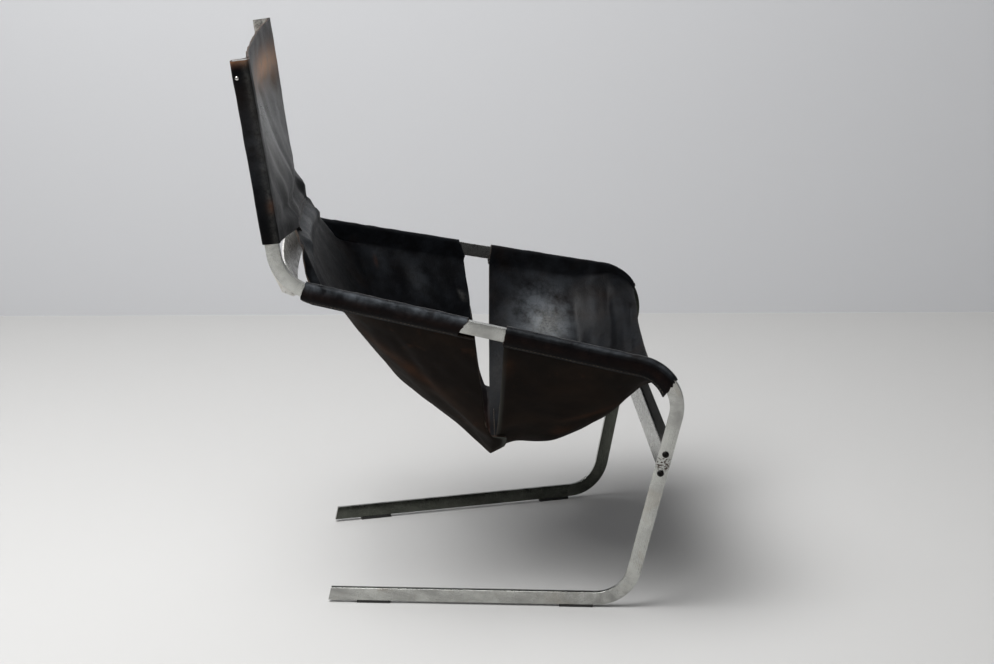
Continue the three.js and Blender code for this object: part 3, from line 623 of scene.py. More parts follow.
@dataclass(frozen=True)
class FleshLeather:
    """Flesh side of the same leather: matt brown suede, darkened and stained."""

    name: str = "leather_flesh"
    dark: Colour = (0.0060, 0.0038, 0.0026)
    warm: Colour = (0.018, 0.0100, 0.0055)
    rust: Colour = (0.050, 0.021, 0.009)
    pale: Colour = (0.16, 0.17, 0.155)
    roughness: float = 0.78
    ior: float = 1.18
    broad: Cloud = Cloud(7, 4, 0.6, 0.4)
    warm_levels: Ramp = Ramp(0.42, 0.68)
    blotch: Cloud = Cloud(30, 5, 0.65)
    rust_levels: Ramp = Ramp(0.6, 0.75, 0.0, 0.55)
    stain_levels: Ramp = Ramp(0.3, 0.6, 0.4, 1.0)
    blotch_bump: Bump = Bump(0.25, 0.003)
    nap: Cloud = Cloud(500, 4, 0.7)
    nap_levels: Ramp = Ramp(0.35, 0.7, 0.0, 0.45)
    nap_bump: Bump = Bump(0.5, 0.0006)
    unpolished: Ramp = Ramp(0.0, 0.5, 1.0, 0.0)

    def make(self) -> bpy.types.Material:
        """Build the material.

        Returns:
            The material.
        """
        s = Shader(self.name)
        rub_and_highlight, stain, polish, _ = s.marks("marks")
        nap = s.noise(s.object_place, self.nap)
        blotch = s.noise(s.object_place, self.blotch)
        tone = s.blend(s.cloudy(self.broad, self.warm_levels), self.dark, self.warm)
        tone = s.blend(s.levels(blotch, self.rust_levels), tone, self.rust)
        tone = s.blend(s.times(stain, s.levels(blotch, self.stain_levels)), tone, self.rust)
        tone = s.blend(s.levels(nap, self.nap_levels), tone, self.dark)
        # Pale where rubbed; the same channel paints highlights along ridges and hems.
        tone = s.blend(s.times(rub_and_highlight, s.levels(polish, self.unpolished)), tone, self.pale)
        relief = s.bump(blotch, self.blotch_bump, s.bump(nap, self.nap_bump))
        return s.finish(Base_Color=tone, Roughness=self.roughness, Normal=relief, IOR=self.ior)


@dataclass(frozen=True)
class CutLeather:
    """Raw cut edge of the leather."""

    name: str = "leather_edge"
    dark: Colour = (0.016, 0.009, 0.006)
    pale: Colour = (0.060, 0.034, 0.018)
    deep: Colour = (0.010, 0.006, 0.004)
    roughness: float = 0.75
    spots: Cloud = Cloud(60, 4, 0.6)
    spot_levels: Ramp = Ramp(0.4, 0.65)
    fibre: Cloud = Cloud(700, 4, 0.7)
    fibre_levels: Ramp = Ramp(0.4, 0.7, 0.0, 0.6)
    fibre_bump: Bump = Bump(0.5, 0.0005)

    def make(self) -> bpy.types.Material:
        """Build the material.

        Returns:
            The material.
        """
        s = Shader(self.name)
        fibre = s.noise(s.object_place, self.fibre)
        tone = s.blend(s.cloudy(self.spots, self.spot_levels), self.dark, self.pale)
        tone = s.blend(s.levels(fibre, self.fibre_levels), tone, self.deep)
        return s.finish(Base_Color=tone, Roughness=self.roughness, Normal=s.bump(fibre, self.fibre_bump))


@dataclass(frozen=True)
class WaxedThread:
    """Heavy waxed sewing thread."""

    name: str = "waxed_thread"
    dark: Colour = (0.028, 0.019, 0.013)
    pale: Colour = (0.10, 0.072, 0.048)
    roughness: float = 0.55
    wax: Cloud = Cloud(90)
    wax_levels: Ramp = Ramp(0.35, 0.65)
    twist: Cloud = Cloud(1500, 2)
    twist_bump: Bump = Bump(0.4, 0.0002)

    def make(self) -> bpy.types.Material:
        """Build the material.

        Returns:
            The material.
        """
        s = Shader(self.name)
        tone = s.blend(s.cloudy(self.wax, self.wax_levels), self.dark, self.pale)
        relief = s.bump(s.noise(s.object_place, self.twist), self.twist_bump)
        return s.finish(Base_Color=tone, Roughness=self.roughness, Normal=relief)


@dataclass(frozen=True)
class StudioPaper:
    """Plain pale paper of the floor and the wall."""

    name: str
    tone: Colour
    one_sided: bool = False
    clouds: Cloud = Cloud(1.3, 2)
    cloud_tint: float = 0.985
    roughness: float = 0.9
    gloss: float = 0.1

    def make(self) -> bpy.types.Material:
        """Build the material.

        Returns:
            The material.
        """
        s = Shader(self.name)
        if self.one_sided:
            s.open_from_behind()
        edge = tuple(c * self.cloud_tint for c in self.tone)
        tone = s.blend(s.noise(s.object_place, self.clouds), self.tone, edge)
        return s.finish(Base_Color=tone, Roughness=self.roughness, Specular_IOR_Level=self.gloss)


# The bent bar's line, which every other piece follows


@dataclass(frozen=True)
class Bend:
    """Round corner between two straight runs of the bar's centre line, in the frame's own plane."""

    start: np.ndarray
    centre: np.ndarray
    turn: float
    radius: float

    @property
    def tangent(self) -> float:
        """Length of straight bar that the corner takes from each run."""
        return self.radius * math.tan(abs(self.turn) / 2)

    @property
    def arc(self) -> float:
        """Length of the bend along the centre line."""
        return self.radius * abs(self.turn)


def heading(degrees: float) -> np.ndarray:
    """Give the unit direction at an angle above forward."""
    return np.array((math.cos(math.radians(degrees)), math.sin(math.radians(degrees))))


def left_of(direction: np.ndarray) -> np.ndarray:
    """Turn plane directions a quarter turn to the left."""
    return np.stack((-direction[..., 1], direction[..., 0]), axis=-1)


@dataclass(frozen=True)
class SideLine:
    """Sizes of the left side frame's bar, and how the frame stands."""

    runner: float = 0.501
    leg: float = 0.413
    arm: float = 0.668
    post: float = 0.371
    floor_radius: float = 0.068
    front_radius: float = 0.072
    rear_radius: float = 0.073
    leg_lean: float = 14.8
    arm_rise: float = 13.1
    post_lean: float = 5.2
    end_slant: float = 15.0
    bar_width: float = 0.023
    bar_thickness: float = 0.008
    glide_height: float = 0.004
    half_spread: float = 0.2476
    corner_reach: float = 0.249
    toe_out: float = 9.8
    lean_out: float = 5.9
    origin_x: float = 0.006138

    @cached_property
    def corners(self) -> dict[str, np.ndarray]:
        """Corners and ends of the centre line in the frame's plane."""
        floor = np.array((self.corner_reach, self.glide_height + self.bar_width / 2))
        front = floor + heading(QUARTER_TURN - self.leg_lean) * self.leg
        rear = front + heading(HALF_TURN - self.arm_rise) * self.arm
        return {
            "runner_end": floor - heading(0) * self.runner,
            "floor": floor,
            "front": front,
            "rear": rear,
            "post_end": rear + heading(QUARTER_TURN + self.post_lean) * self.post,
        }

    def bend(self, before: str, corner: str, after: str, radius: float) -> Bend:
        """Fit a bend into a corner.

        Args:
            before: Name of the corner before.
            corner: Name of the corner.
            after: Name of the corner after.
            radius: Radius of the centre line.

        Returns:
            The bend.
        """
        into = self.corners[corner] - self.corners[before]
        into /= np.linalg.norm(into)
        out = self.corners[after] - self.corners[corner]
        out /= np.linalg.norm(out)
        turn = math.atan2(into[0] * out[1] - into[1] * out[0], float(into @ out))
        start = self.corners[corner] - into * radius * math.tan(abs(turn) / 2)
        return Bend(start, start + left_of(into) * math.copysign(radius, turn), turn, radius)

    @cached_property
    def bends(self) -> tuple[Bend, Bend, Bend]:
        """Floor, front and rear bends."""
        return (
            self.bend("runner_end", "floor", "front", self.floor_radius),
            self.bend("floor", "front", "rear", self.front_radius),
            self.bend("front", "rear", "post_end", self.rear_radius),
        )

    @property
    def arm_straight(self) -> float:
        """Length of the arm between its two bends."""
        return self.arm - self.bends[1].tangent - self.bends[2].tangent

    @property
    def post_straight(self) -> float:
        """Length of the post above the rear bend."""
        return self.post - self.bends[2].tangent

    def station(self, along: np.ndarray) -> tuple[np.ndarray, np.ndarray]:
        """Find places on the bar from the arm's rear end, forward positive and up the post negative.

        Args:
            along: Arc lengths.

        Returns:
            Points of the centre line, and the directions toward the bar's outer edge.
        """
        along = np.asarray(along, float)
        _, front, rear = self.bends
        over = np.maximum(along - self.arm_straight, 0)
        bent = np.clip(-along, 0, rear.arc)
        angle = -math.radians(self.arm_rise) - over / front.radius - bent / rear.radius
        travel = np.stack((np.cos(angle), np.sin(angle)), axis=-1)
        outer = left_of(travel)
        forward = -heading(HALF_TURN - self.arm_rise)
        straight = rear.tangent + np.clip(along, 0, self.arm_straight)
        point = self.corners["rear"] + forward * straight[..., None]
        point = np.where((over > 0)[..., None], front.centre + outer * front.radius, point)
        on_post = rear.centre - outer * rear.radius + travel * (bent + along)[..., None]
        return np.where((along < 0)[..., None], on_post, point), outer

    def place(self, plane: np.ndarray, depth: np.ndarray | float) -> np.ndarray:
        """Stand plane points on the left frame.

        Args:
            plane: Points forward and up in the frame's plane.
            depth: Distances outward from the bar's outer face.

        Returns:
            Points of the chair.
        """
        lean, toe = math.radians(self.lean_out), math.radians(self.toe_out)
        depth = np.broadcast_to(depth, plane.shape[:-1])
        across = depth * math.cos(lean) + plane[..., 1] * math.sin(lean)
        x = plane[..., 0] * math.cos(toe) - across * math.sin(toe) + self.origin_x
        y = plane[..., 0] * math.sin(toe) + across * math.cos(toe) + self.half_spread
        z = plane[..., 1] * math.cos(lean) - depth * math.sin(lean)
        return np.stack((x, y, z), axis=-1)

    def around(self, along: np.ndarray, section: np.ndarray) -> np.ndarray:
        """Place offsets, outward and toward the bar's outer edge, from its middle at some arc lengths."""
        point, outer = self.station(along)
        return self.place(point + outer * section[..., 1:], section[..., 0] - self.bar_thickness / 2)

    @property
    def matrix(self) -> Matrix:
        """Transform from forward, outward and up in the frame's plane to the chair."""
        lean = Matrix.Rotation(-math.radians(self.lean_out), 4, "X")
        toe = Matrix.Rotation(math.radians(self.toe_out), 4, "Z")
        return Matrix.Translation((self.origin_x, self.half_spread, 0)) @ toe @ lean


def finished(
    name: str,
    bm: bmesh.types.BMesh,
    materials: Iterable[bpy.types.Material],
    smooth: float = 40.0,
) -> bpy.types.Object:
    """Turn a bmesh into a piece of the scene.

    Args:
        name: Name of the piece.
        bm: Its mesh, which is freed.
        materials: Materials of its slots.
        smooth: Angle in degrees below which its edges are shaded smooth.

    Returns:
        The object.
    """
    mesh = bpy.data.meshes.new(name)
    bm.to_mesh(mesh)
    bm.free()
    for material in materials:
        mesh.materials.append(material)
    mesh.polygons.foreach_set("use_smooth", [True] * len(mesh.polygons))
    mesh.set_sharp_from_angle(angle=math.radians(smooth))
    piece = bpy.data.objects.new(name, mesh)
    bpy.context.scene.collection.objects.link(piece)
    return piece


@dataclass
class SideFrame:
    """One bent flat bar: runner, leg, arm and post."""

    side: int
    line: SideLine = field(default_factory=SideLine)
    edge_ease: float = 0.0007
    bend_steps: int = 28
    ease_steps: int = 3
    bend_band: float = 0.55
    # Height below which the bar's inward faces take the darker copy of the steel, painted shade.
    shade_below: float = 0.42
    faces_up: float = 0.8
    faces_inward: float = 0.9
    smooth_below: float = 30.0

    @property
    def name(self) -> str:
        """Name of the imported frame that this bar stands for."""
        return f"side_frame_{'left' if self.side > 0 else 'right'}"

    def section(self, bm: bmesh.types.BMesh) -> None:
        """Start the bar with its slanted, eased end at the rear of the runner.

        Args:
            bm: Mesh to start.
        """
        bmesh.ops.create_grid(bm, x_segments=1, y_segments=1, size=0.5)
        bmesh.ops.scale(bm, vec=(self.line.bar_thickness, self.line.bar_width, 1), verts=bm.verts)
        bmesh.ops.bevel(
            bm,
            geom=list(bm.verts),
            offset=self.edge_ease,
            offset_type="OFFSET",
            segments=self.ease_steps,
            profile=0.5,
            affect="VERTICES",
            material=-1,
        )
        end = self.line.corners["runner_end"]
        slant = math.tan(math.radians(self.line.end_slant))
        for v in bm.verts:
            v.co = Vector((end[0] + v.co.y * slant, v.co.x - self.line.bar_thickness / 2, end[1] + v.co.y))

    def build(self) -> bmesh.types.BMesh:
        """Run the section along the four straights and round the three bends.

        Returns:
            The bar in its own plane.
        """
        bm = bmesh.new()
        self.section(bm)
        face = list(bm.faces)
        here = self.line.corners["runner_end"]
        ends = [*(bend.start for bend in self.line.bends), self.line.corners["post_end"]]
        for i, target in enumerate(ends):
            grown = bmesh.ops.extrude_face_region(bm, geom=face)["geom"]
            if i > 0:
                bmesh.ops.delete(bm, geom=[f for f in face if f.is_valid], context="FACES_ONLY")
            face = [g for g in grown if isinstance(g, bmesh.types.BMFace)]
            ring = [v for f in face for v in f.verts]
            step = target - here
            bmesh.ops.translate(bm, verts=ring, vec=(step[0], 0, step[1]))
            if i == 0:
                for v in ring:
                    v.co.x = target[0]
            if i < len(self.line.bends):
                bend = self.line.bends[i]
                centre = (bend.centre[0], 0, bend.centre[1])
                spun = bmesh.ops.spin(
                    bm,
                    geom=face,
                    cent=centre,
                    axis=(0, 1, 0),
                    dvec=(0, 0, 0),
                    angle=-bend.turn,
                    steps=self.bend_steps,
                    use_merge=False,
                    use_duplicate=False,
                )
                bmesh.ops.delete(bm, geom=[f for f in face if f.is_valid], context="FACES_ONLY")
                face = [g for g in spun["geom_last"] if isinstance(g, bmesh.types.BMFace)]
                ring = [v for f in face for v in f.verts]
                middle = sum((v.co for v in ring), Vector()) / len(ring)
                here = np.array((middle.x, middle.z))
        bmesh.ops.remove_doubles(bm, verts=bm.verts, dist=SAME_POINT)
        bmesh.ops.recalc_face_normals(bm, faces=bm.faces)
        return bm

    def lay_grain(self, bm: bmesh.types.BMesh) -> None:
        """Give the bar a flat place that runs along it, for the brushing.

        Args:
            bm: The bar in its own plane.
        """
        uv = bm.loops.layers.uv.new("flat")
        for f in bm.faces:
            for loop in f.loops:
                x, y, z = loop.vert.co
                bend = min(self.line.bends, key=lambda b: math.hypot(x - b.centre[0], z - b.centre[1]))
                radius = math.hypot(x - bend.centre[0], z - bend.centre[1])
                if abs(radius - bend.radius) < self.line.bar_width * self.bend_band:
                    around = math.atan2(z - bend.centre[1], x - bend.centre[0]) * bend.radius
                    loop[uv].uv = (around, radius + y)
                else:
                    loop[uv].uv = (x + z, abs(y))

    def dress(self, steel: bpy.types.Material, steel_in_shade: bpy.types.Material) -> bpy.types.Object:
        """Stand the bar up and give it its finishes.

        Args:
            steel: Finish of the ground faces.
            steel_in_shade: Darker copy of the steel, painted shade, on the low faces toward the chair's
                middle and on the runner's top edge.

        Returns:
            The piece.
        """
        bm = self.build()
        self.lay_grain(bm)
        bmesh.ops.transform(bm, matrix=self.line.matrix, verts=bm.verts)
        if self.side < 0:
            bmesh.ops.scale(bm, vec=(1, -1, 1), verts=bm.verts)
            bmesh.ops.reverse_faces(bm, faces=bm.faces)
        bm.normal_update()
        # Low faces toward the chair's middle and the runner's top faces take the darker copy of the steel:
        # painted shade.
        for f in bm.faces:
            height = f.calc_center_median().z
            on_runner = f.normal.z > self.faces_up and height < 2 * self.line.bar_width
            inside = f.normal.y * self.side < -self.faces_inward and height < self.shade_below
            f.material_index = int(inside or on_runner)
        piece = finished(f"bar_{self.name}", bm, [steel, steel_in_shade], self.smooth_below)
        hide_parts(self.name)
        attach(piece, "root")
        return piece


# Leather


class Layer(Enum):
    """Material slots of a panel."""

    GRAIN = 0
    FLESH = 1
    EDGE = 2
    # Darker copy of the grain on the sleeves' outer faces: painted shade.
    SLEEVE_SHADE = 3


class Trace(Enum):
    """What use has left on the leather, and the painted highlights and sheen, by channel of the painted
    marks.
    """

    RUBBED_AND_HIGHLIGHT = 0
    STAIN = 1
    POLISH = 2
    BLOOM = 3


@dataclass(frozen=True)
class Mark:
    """Soft patch of one trace, in metres along and across a panel's flat pattern."""

    trace: Trace
    along: float
    across: float
    reach_along: float
    reach_across: float
    strength: float


@dataclass(frozen=True)
class Fold:
    """Crease or roll along a line of the flat pattern; a negative height is a valley."""

    points: tuple[tuple[float, float], ...]
    width: float
    height: float
    sharp: bool = False
    sharp_fall: float = 1.6

    def relief(self, a: np.ndarray, b: np.ndarray) -> np.ndarray:
        """Give the fold's height over a panel.

        Args:
            a: Place along the panel.
            b: Place across the panel.

        Returns:
            Heights.
        """
        near = np.full(a.shape, np.inf)
        for (a0, b0), (a1, b1) in zip(self.points, self.points[1:]):
            da, db = a1 - a0, b1 - b0
            t = np.clip(((a - a0) * da + (b - b0) * db) / (da * da + db * db), 0, 1)
            near = np.minimum(near, np.hypot(a - a0 - t * da, b - b0 - t * db))
        share = near / self.width
        return self.height * np.exp(-share * (self.sharp_fall if self.sharp else share))


@dataclass
class Leather:
    """Sizes that the three leather panels share."""

    line: SideLine = field(default_factory=SideLine)
    thickness: float = 0.003
    gap: float = 0.0003
    hem_drop: float = 0.009
    crown_setback: float = 0.0012
    crown_ease: float = 0.0040
    crown_rise: float = 0.0006
    sleeve_bulge: float = 0.0024
    hem_steps: tuple[int, int] = (2, 3)
    outer_steps: int = 7
    inner_steps: int = 8
    turn_steps: int = 5
    crown_steps: int = 2
    slot_start: float = 0.255
    slot_length: float = 0.064
    keel_step_back: float = 0.004
    keel_step_down: float = 0.0058
    seam_reach: float = 0.014
    seam_rise: float = 0.070
    keel_reach: float = 0.005
    keel_drop: float = 0.288
    front_setback: float = 0.034
    front_drop: float = 0.071
    keel_lap: float = 0.020

    @property
    def offset(self) -> float:
        """Distance of the leather's middle from the bar's middle."""
        return self.line.bar_thickness / 2 + self.gap + self.thickness / 2

    @property
    def half_width(self) -> float:
        """Half of the bar's width."""
        return self.line.bar_width / 2

    @property
    def hem(self) -> float:
        """Depth of the sewn hem below the bar's middle."""
        return self.half_width + self.hem_drop

    @cached_property
    def seam_top(self) -> np.ndarray:
        """Middle of the seat's rear edge, forward and up."""
        return self.line.corners["rear"] + (self.seam_reach, self.seam_rise)

    @cached_property
    def keel(self) -> np.ndarray:
        """Middle of the keel, forward and up."""
        slot, _ = self.line.station(np.array(self.slot_start + self.slot_length / 2))
        return slot + (self.keel_reach, -self.keel_drop)

    @cached_property
    def front_edge(self) -> np.ndarray:
        """Middle of the seat's front edge, forward and up."""
        return self.line.corners["front"] - (self.front_setback, self.front_drop)

    def middle_curve(
        self,
        shares: Sequence[tuple[float, float]],
        start: np.ndarray,
        end: np.ndarray,
        share: float,
    ) -> np.ndarray:
        """Follow a curve of the middle plane, given by shares of the reach and rise from start to end."""
        knots = [(mix(start[0], end[0], reach), 0.0, mix(start[1], end[1], rise)) for reach, rise in shares]
        return curve_through(knots, share) + (self.line.origin_x, 0, 0)

    def arm_section(self, inner_level: float) -> np.ndarray:
        """Wrap the leather round the arm, from the sewn hem below to its inner side.

        Args:
            inner_level: Height above the bar's middle where the inner side ends.

        Returns:
            Offsets outward and up, in the order of the wrap.
        """
        o, t = self.offset, self.thickness
        hem_end = (t + self.gap - o, -self.hem)
        top = self.half_width + self.gap + t / 2
        ease = self.crown_ease
        crown = top - ease
        arc = np.radians(np.linspace(0, QUARTER_TURN, self.turn_steps + 1))
        outer_turn = np.stack((o - ease + ease * np.cos(arc), crown + ease * np.sin(arc)), axis=-1)
        corners = (hem_end, (hem_end[0] + t, t - self.hem), (o, -self.half_width), (o, crown))
        counts = (*self.hem_steps, self.outer_steps)
        points = [np.linspace(a, b, n, endpoint=False) for a, b, n in zip(corners, corners[1:], counts)]
        bulge = np.sin(np.linspace(0, math.pi, self.outer_steps, endpoint=False))
        points[-1][:, 0] += self.sleeve_bulge * bulge
        points.append(outer_turn)
        across = (-outer_turn[-1][0], top + self.crown_rise)
        points.append(np.linspace(outer_turn[-1], across, self.crown_steps + 1)[1:-1])
        points.append(outer_turn[::-1] * (-1, 1))
        points.append(np.linspace((-o, crown), (-o, inner_level), self.inner_steps + 1)[1:])
        return np.concatenate(points)

    def down_share(self, section: np.ndarray) -> np.ndarray:
        """Tell how far down the bar offsets lie, as a share of its width."""
        return np.maximum((self.half_width - section[:, 1]) / self.line.bar_width, 0)


def hanging(edge: np.ndarray, middle: np.ndarray, t: np.ndarray, rise: float, reach: float) -> np.ndarray:
    """Hang leather between the middle line and a sleeve.

    Args:
        edge: Point beside the sleeve.
        middle: Point of the middle line.
        t: Shares outward from the middle line.
        rise: Exponent of the rise.
        reach: Exponent of the reach along the chair.

    Returns:
        Points of the chair.
    """
    x = mix(middle[0], edge[0], t**reach)
    z = mix(middle[2], edge[2], t**rise)
    return np.stack((x, edge[1] * t, z), axis=-1)


@dataclass
class Stitching:
    """Rows of heavy saddle stitches, each pulled into the leather at its ends."""

    name: str
    pitch: float = 0.0064
    length: float = 0.0050
    width: float = 0.0012
    height: float = 0.0005
    faces_around: int = 6
    faces_along: int = 4

    def sew(self, bm: bmesh.types.BMesh, path: np.ndarray, normals: np.ndarray) -> None:
        """Lay stitches along a line.

        Args:
            bm: Mesh to add them to.
            path: Points of the line.
            normals: Directions out of the leather at those points.
        """
        run = np.concatenate(((0.0,), np.cumsum(np.linalg.norm(np.diff(path, axis=0), axis=1))))

        def at(place: float, values: np.ndarray) -> Vector:
            """Read values at a place of the line."""
            return Vector(np.interp(place, run, values[:, k]) for k in range(3))

        for place in (np.arange(int(run[-1] / self.pitch)) + 0.5) * self.pitch:
            ahead = (at(place + self.length / 2, path) - at(place - self.length / 2, path)).normalized()
            up = at(place, normals)
            up = (up - ahead * up.dot(ahead)).normalized()
            side = up.cross(ahead)
            columns = (side * self.width / 2, up * self.height, ahead * self.length / 2)
            shape = Matrix([[c[k] for c in columns] for k in range(3)]).to_4x4()
            shape.translation = at(place, path)
            bmesh.ops.create_uvsphere(
                bm,
                u_segments=self.faces_around,
                v_segments=self.faces_along,
                radius=1.0,
                matrix=shape,
            )

    def dress(self, lines: Iterable[Line], thread: bpy.types.Material) -> bpy.types.Object:
        """Make all lines one piece.

        Args:
            lines: Points and normals of each line.
            thread: Material of the thread.

        Returns:
            The piece.
        """
        bm = bmesh.new()
        for path, normals in lines:
            self.sew(bm, path, normals)
        bmesh.ops.recalc_face_normals(bm, faces=bm.faces)
        piece = finished(self.name, bm, [thread], HALF_TURN)
        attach(piece, "root")
        return piece


@dataclass
class Panel(Leather):
    """One leather panel as a grid of rows, each running from the left sleeve to the right."""

    name: str = ""
    sling_steps: int = 60
    folds: tuple[Fold, ...] = ()
    marks: tuple[Mark, ...] = ()
    column_marks: tuple[tuple[float, float, Trace, float], ...] = ()
    seed: int = 1
    wave: float = 0.0010
    wave_size: float = 0.11
    ripple_share: float = 0.4
    ripple_size: float = 0.045
    slack: float = 0.0007
    slack_size: float = 0.06
    held_columns: int = 5
    slack_columns: int = 4
    loose_columns: int = 8
    # Columns, counted from each side, whose faces take the darker grain copy: painted shade.
    shaded_columns: tuple[int, int] = (0, 11)
    patch_least: float = 0.6
    patch_size: float = 0.025
    fray: float = 0.0005
    seeds_apart: int = 10
    stitch_lift: float = 0.0001
    smooth_below: float = 60.0

    def half_rows(self) -> np.ndarray:
        """Give the left half of every row, from the sleeve's hem to the middle."""
        raise NotImplementedError

    @cached_property
    def sleeve_count(self) -> int:
        """Number of columns in a sleeve."""
        raise NotImplementedError

    @property
    def inward(self) -> np.ndarray:
        """Shares of the hanging columns, from beside the sleeve to 0 at the middle."""
        return np.linspace(1, 0, self.sling_steps + 1)[1:]

    def grid(self) -> np.ndarray:
        """Join both halves of every row.

        Returns:
            Points by row and column.
        """
        half = self.half_rows()
        right = half[:, -2::-1] * (1, -1, 1)
        return np.concatenate((half, right), axis=1)

    def flat(self, grid: np.ndarray) -> tuple[np.ndarray, np.ndarray]:
        """Lay the panel out flat.

        Args:
            grid: The panel's points.

        Returns:
            Place along and place across, both in metres and zero at the first row and at the middle.
        """
        middle = grid.shape[1] // 2
        steps = np.linalg.norm(np.diff(grid, axis=1), axis=-1)
        across = np.concatenate((np.zeros((len(grid), 1)), np.cumsum(steps, axis=1)), axis=1)
        across = -(across - across[:, middle : middle + 1])
        rows = np.linalg.norm(np.diff(grid[:, middle], axis=0), axis=-1)
        along = np.concatenate(((0.0,), np.cumsum(rows)))
        return np.broadcast_to(along[:, None], across.shape), across

    def normals(self, grid: np.ndarray) -> np.ndarray:
        """Give unit normals on the grain side."""
        n = np.cross(np.gradient(grid, axis=1), np.gradient(grid, axis=0))
        return n / np.maximum(np.linalg.norm(n, axis=-1, keepdims=True), TINY)

    def from_side(self, grid: np.ndarray) -> np.ndarray:
        """Count every column from the nearer side."""
        columns = np.arange(grid.shape[1])
        return np.minimum(columns, columns[::-1])

    def looseness(self, grid: np.ndarray) -> np.ndarray:
        """Tell where the leather is free to fold: 0 on the sleeves and 1 away from them."""
        return smooth_share((self.from_side(grid) - self.sleeve_count) / self.loose_columns)[None, :]

    def relief(self, a: np.ndarray, b: np.ndarray, grid: np.ndarray) -> np.ndarray:
        """Add up folds and waves over the panel.

        Args:
            a: Place along.
            b: Place across.
            grid: The panel's points.

        Returns:
            Heights toward the grain side.
        """
        height = self.wave * waves(a, b, self.seed, self.wave_size)
        height = height + self.ripple_share * self.wave * waves(a, b, self.seed + 1, self.ripple_size)
        for fold in self.folds:
            height = height + fold.relief(a, b)
        sleeve = smooth_share((self.from_side(grid) - self.held_columns) / self.slack_columns)[None, :]
        slack = self.slack * (0.5 + 0.5 * waves(a, b, self.seed + 2, self.slack_size)).clip(0, 1)
        return mix(slack * sleeve, height, self.looseness(grid))

    def frayed(self, count: int, salt: int) -> np.ndarray:
        """Make a cut edge of some columns slightly ragged; the salt tells one cut from another."""
        rng = np.random.default_rng(self.seed * self.seeds_apart + salt)
        return self.fray * rng.normal(size=count).clip(-2, 2)

    @cached_property
    def shaped(self) -> np.ndarray:
        """The panel's points with their folds and waves."""
        grid = self.grid()
        a, b = self.flat(grid)
        return grid + self.normals(grid) * self.relief(a, b, grid)[..., None]

    def seams(self) -> list[Line]:
        """Give the lines of stitches, each as points on the grain side and normals."""
        raise NotImplementedError

    def trail(self, row: int | slice, column: int | slice) -> Line:
        """Follow part of a row or a column on the grain side, as points and normals."""
        up = self.normals(self.shaped)
        return (self.shaped + up * (self.thickness / 2 + self.stitch_lift))[row, column], up[row, column]

    def between(self, row: int, reach: float) -> slice:
        """Find the columns of a row within a distance of the middle."""
        inside = np.flatnonzero(np.abs(self.shaped[row, :, 1]) < reach)
        return slice(int(inside[0]), int(inside[-1]) + 1)

    def paint(self, a: np.ndarray, b: np.ndarray) -> np.ndarray:
        """Paint the traces of use.

        Args:
            a: Place along.
            b: Place across.

        Returns:
            Four channels for every point.
        """
        painted = np.zeros((*a.shape, 4))
        for mark in self.marks:
            far = ((a - mark.along) / mark.reach_along) ** 2 + ((b - mark.across) / mark.reach_across) ** 2
            painted[..., mark.trace.value] += mark.strength * np.exp(-far)
        patchy = smooth_share(0.5 + 0.5 * waves(a, b, self.seed + 3, self.patch_size))
        patchy = mix(self.patch_least, 1.0, patchy)
        # Marks along columns: wear, and painted highlight bands along the sleeves' crowns and hems.
        for centre, reach, trace, strength in self.column_marks:
            worn = np.exp(-(((self.from_side(a) - centre) / reach) ** 2))
            painted[..., trace.value] += strength * patchy * worn
        return np.clip(painted, 0, 1)

    def build(self) -> bmesh.types.BMesh:
        """Make the panel's middle surface.

        Returns:
            The surface, with its flat places and its marks.
        """
        grid = self.shaped
        a, b = self.flat(grid)
        painted = self.paint(a, b)
        rows, columns = a.shape
        bm = bmesh.new()
        uv = bm.loops.layers.uv.new("flat")
        marks = bm.verts.layers.float_color.new("marks")
        bmesh.ops.create_grid(bm, x_segments=columns - 1, y_segments=rows - 1, size=0.5)
        flat_place: dict[int, tuple[float, float]] = {}
        outer: set[int] = set()
        for v in bm.verts:
            c = round((v.co.x + 0.5) * (columns - 1))
            r = round((v.co.y + 0.5) * (rows - 1))
            v.co = Vector(grid[r, c])
            v[marks] = painted[r, c]
            flat_place[v.index] = (b[r, c], a[r, c])
            if self.shaded_columns[0] <= min(c, columns - 1 - c) <= self.shaded_columns[1]:
                outer.add(v.index)
        bm.verts.index_update()
        # Faces on the sleeves' outer columns take the darker copy of the grain: painted shade.
        for f in bm.faces:
            sleeve_in_shade = all(v.index in outer for v in f.verts)
            f.material_index = (Layer.SLEEVE_SHADE if sleeve_in_shade else Layer.GRAIN).value
            for loop in f.loops:
                loop[uv].uv = flat_place[loop.vert.index]
        return bm

    def cut_size(self) -> tuple[float, float, float]:
        """Measure the panel as it was cut.

        Returns:
            Its flat width, its flat length and its area.
        """
        grid = self.grid()
        _, b = self.flat(grid)
        width = float((b[:, 0] - b[:, -1]).max())
        length = float(np.linalg.norm(np.diff(grid, axis=0), axis=-1).sum(axis=0).max())
        side_a = np.diff(grid, axis=0)[:, :-1]
        side_b = np.diff(grid, axis=1)[:-1]
        area = float(np.linalg.norm(np.cross(side_a, side_b), axis=-1).sum())
        return width, length, area

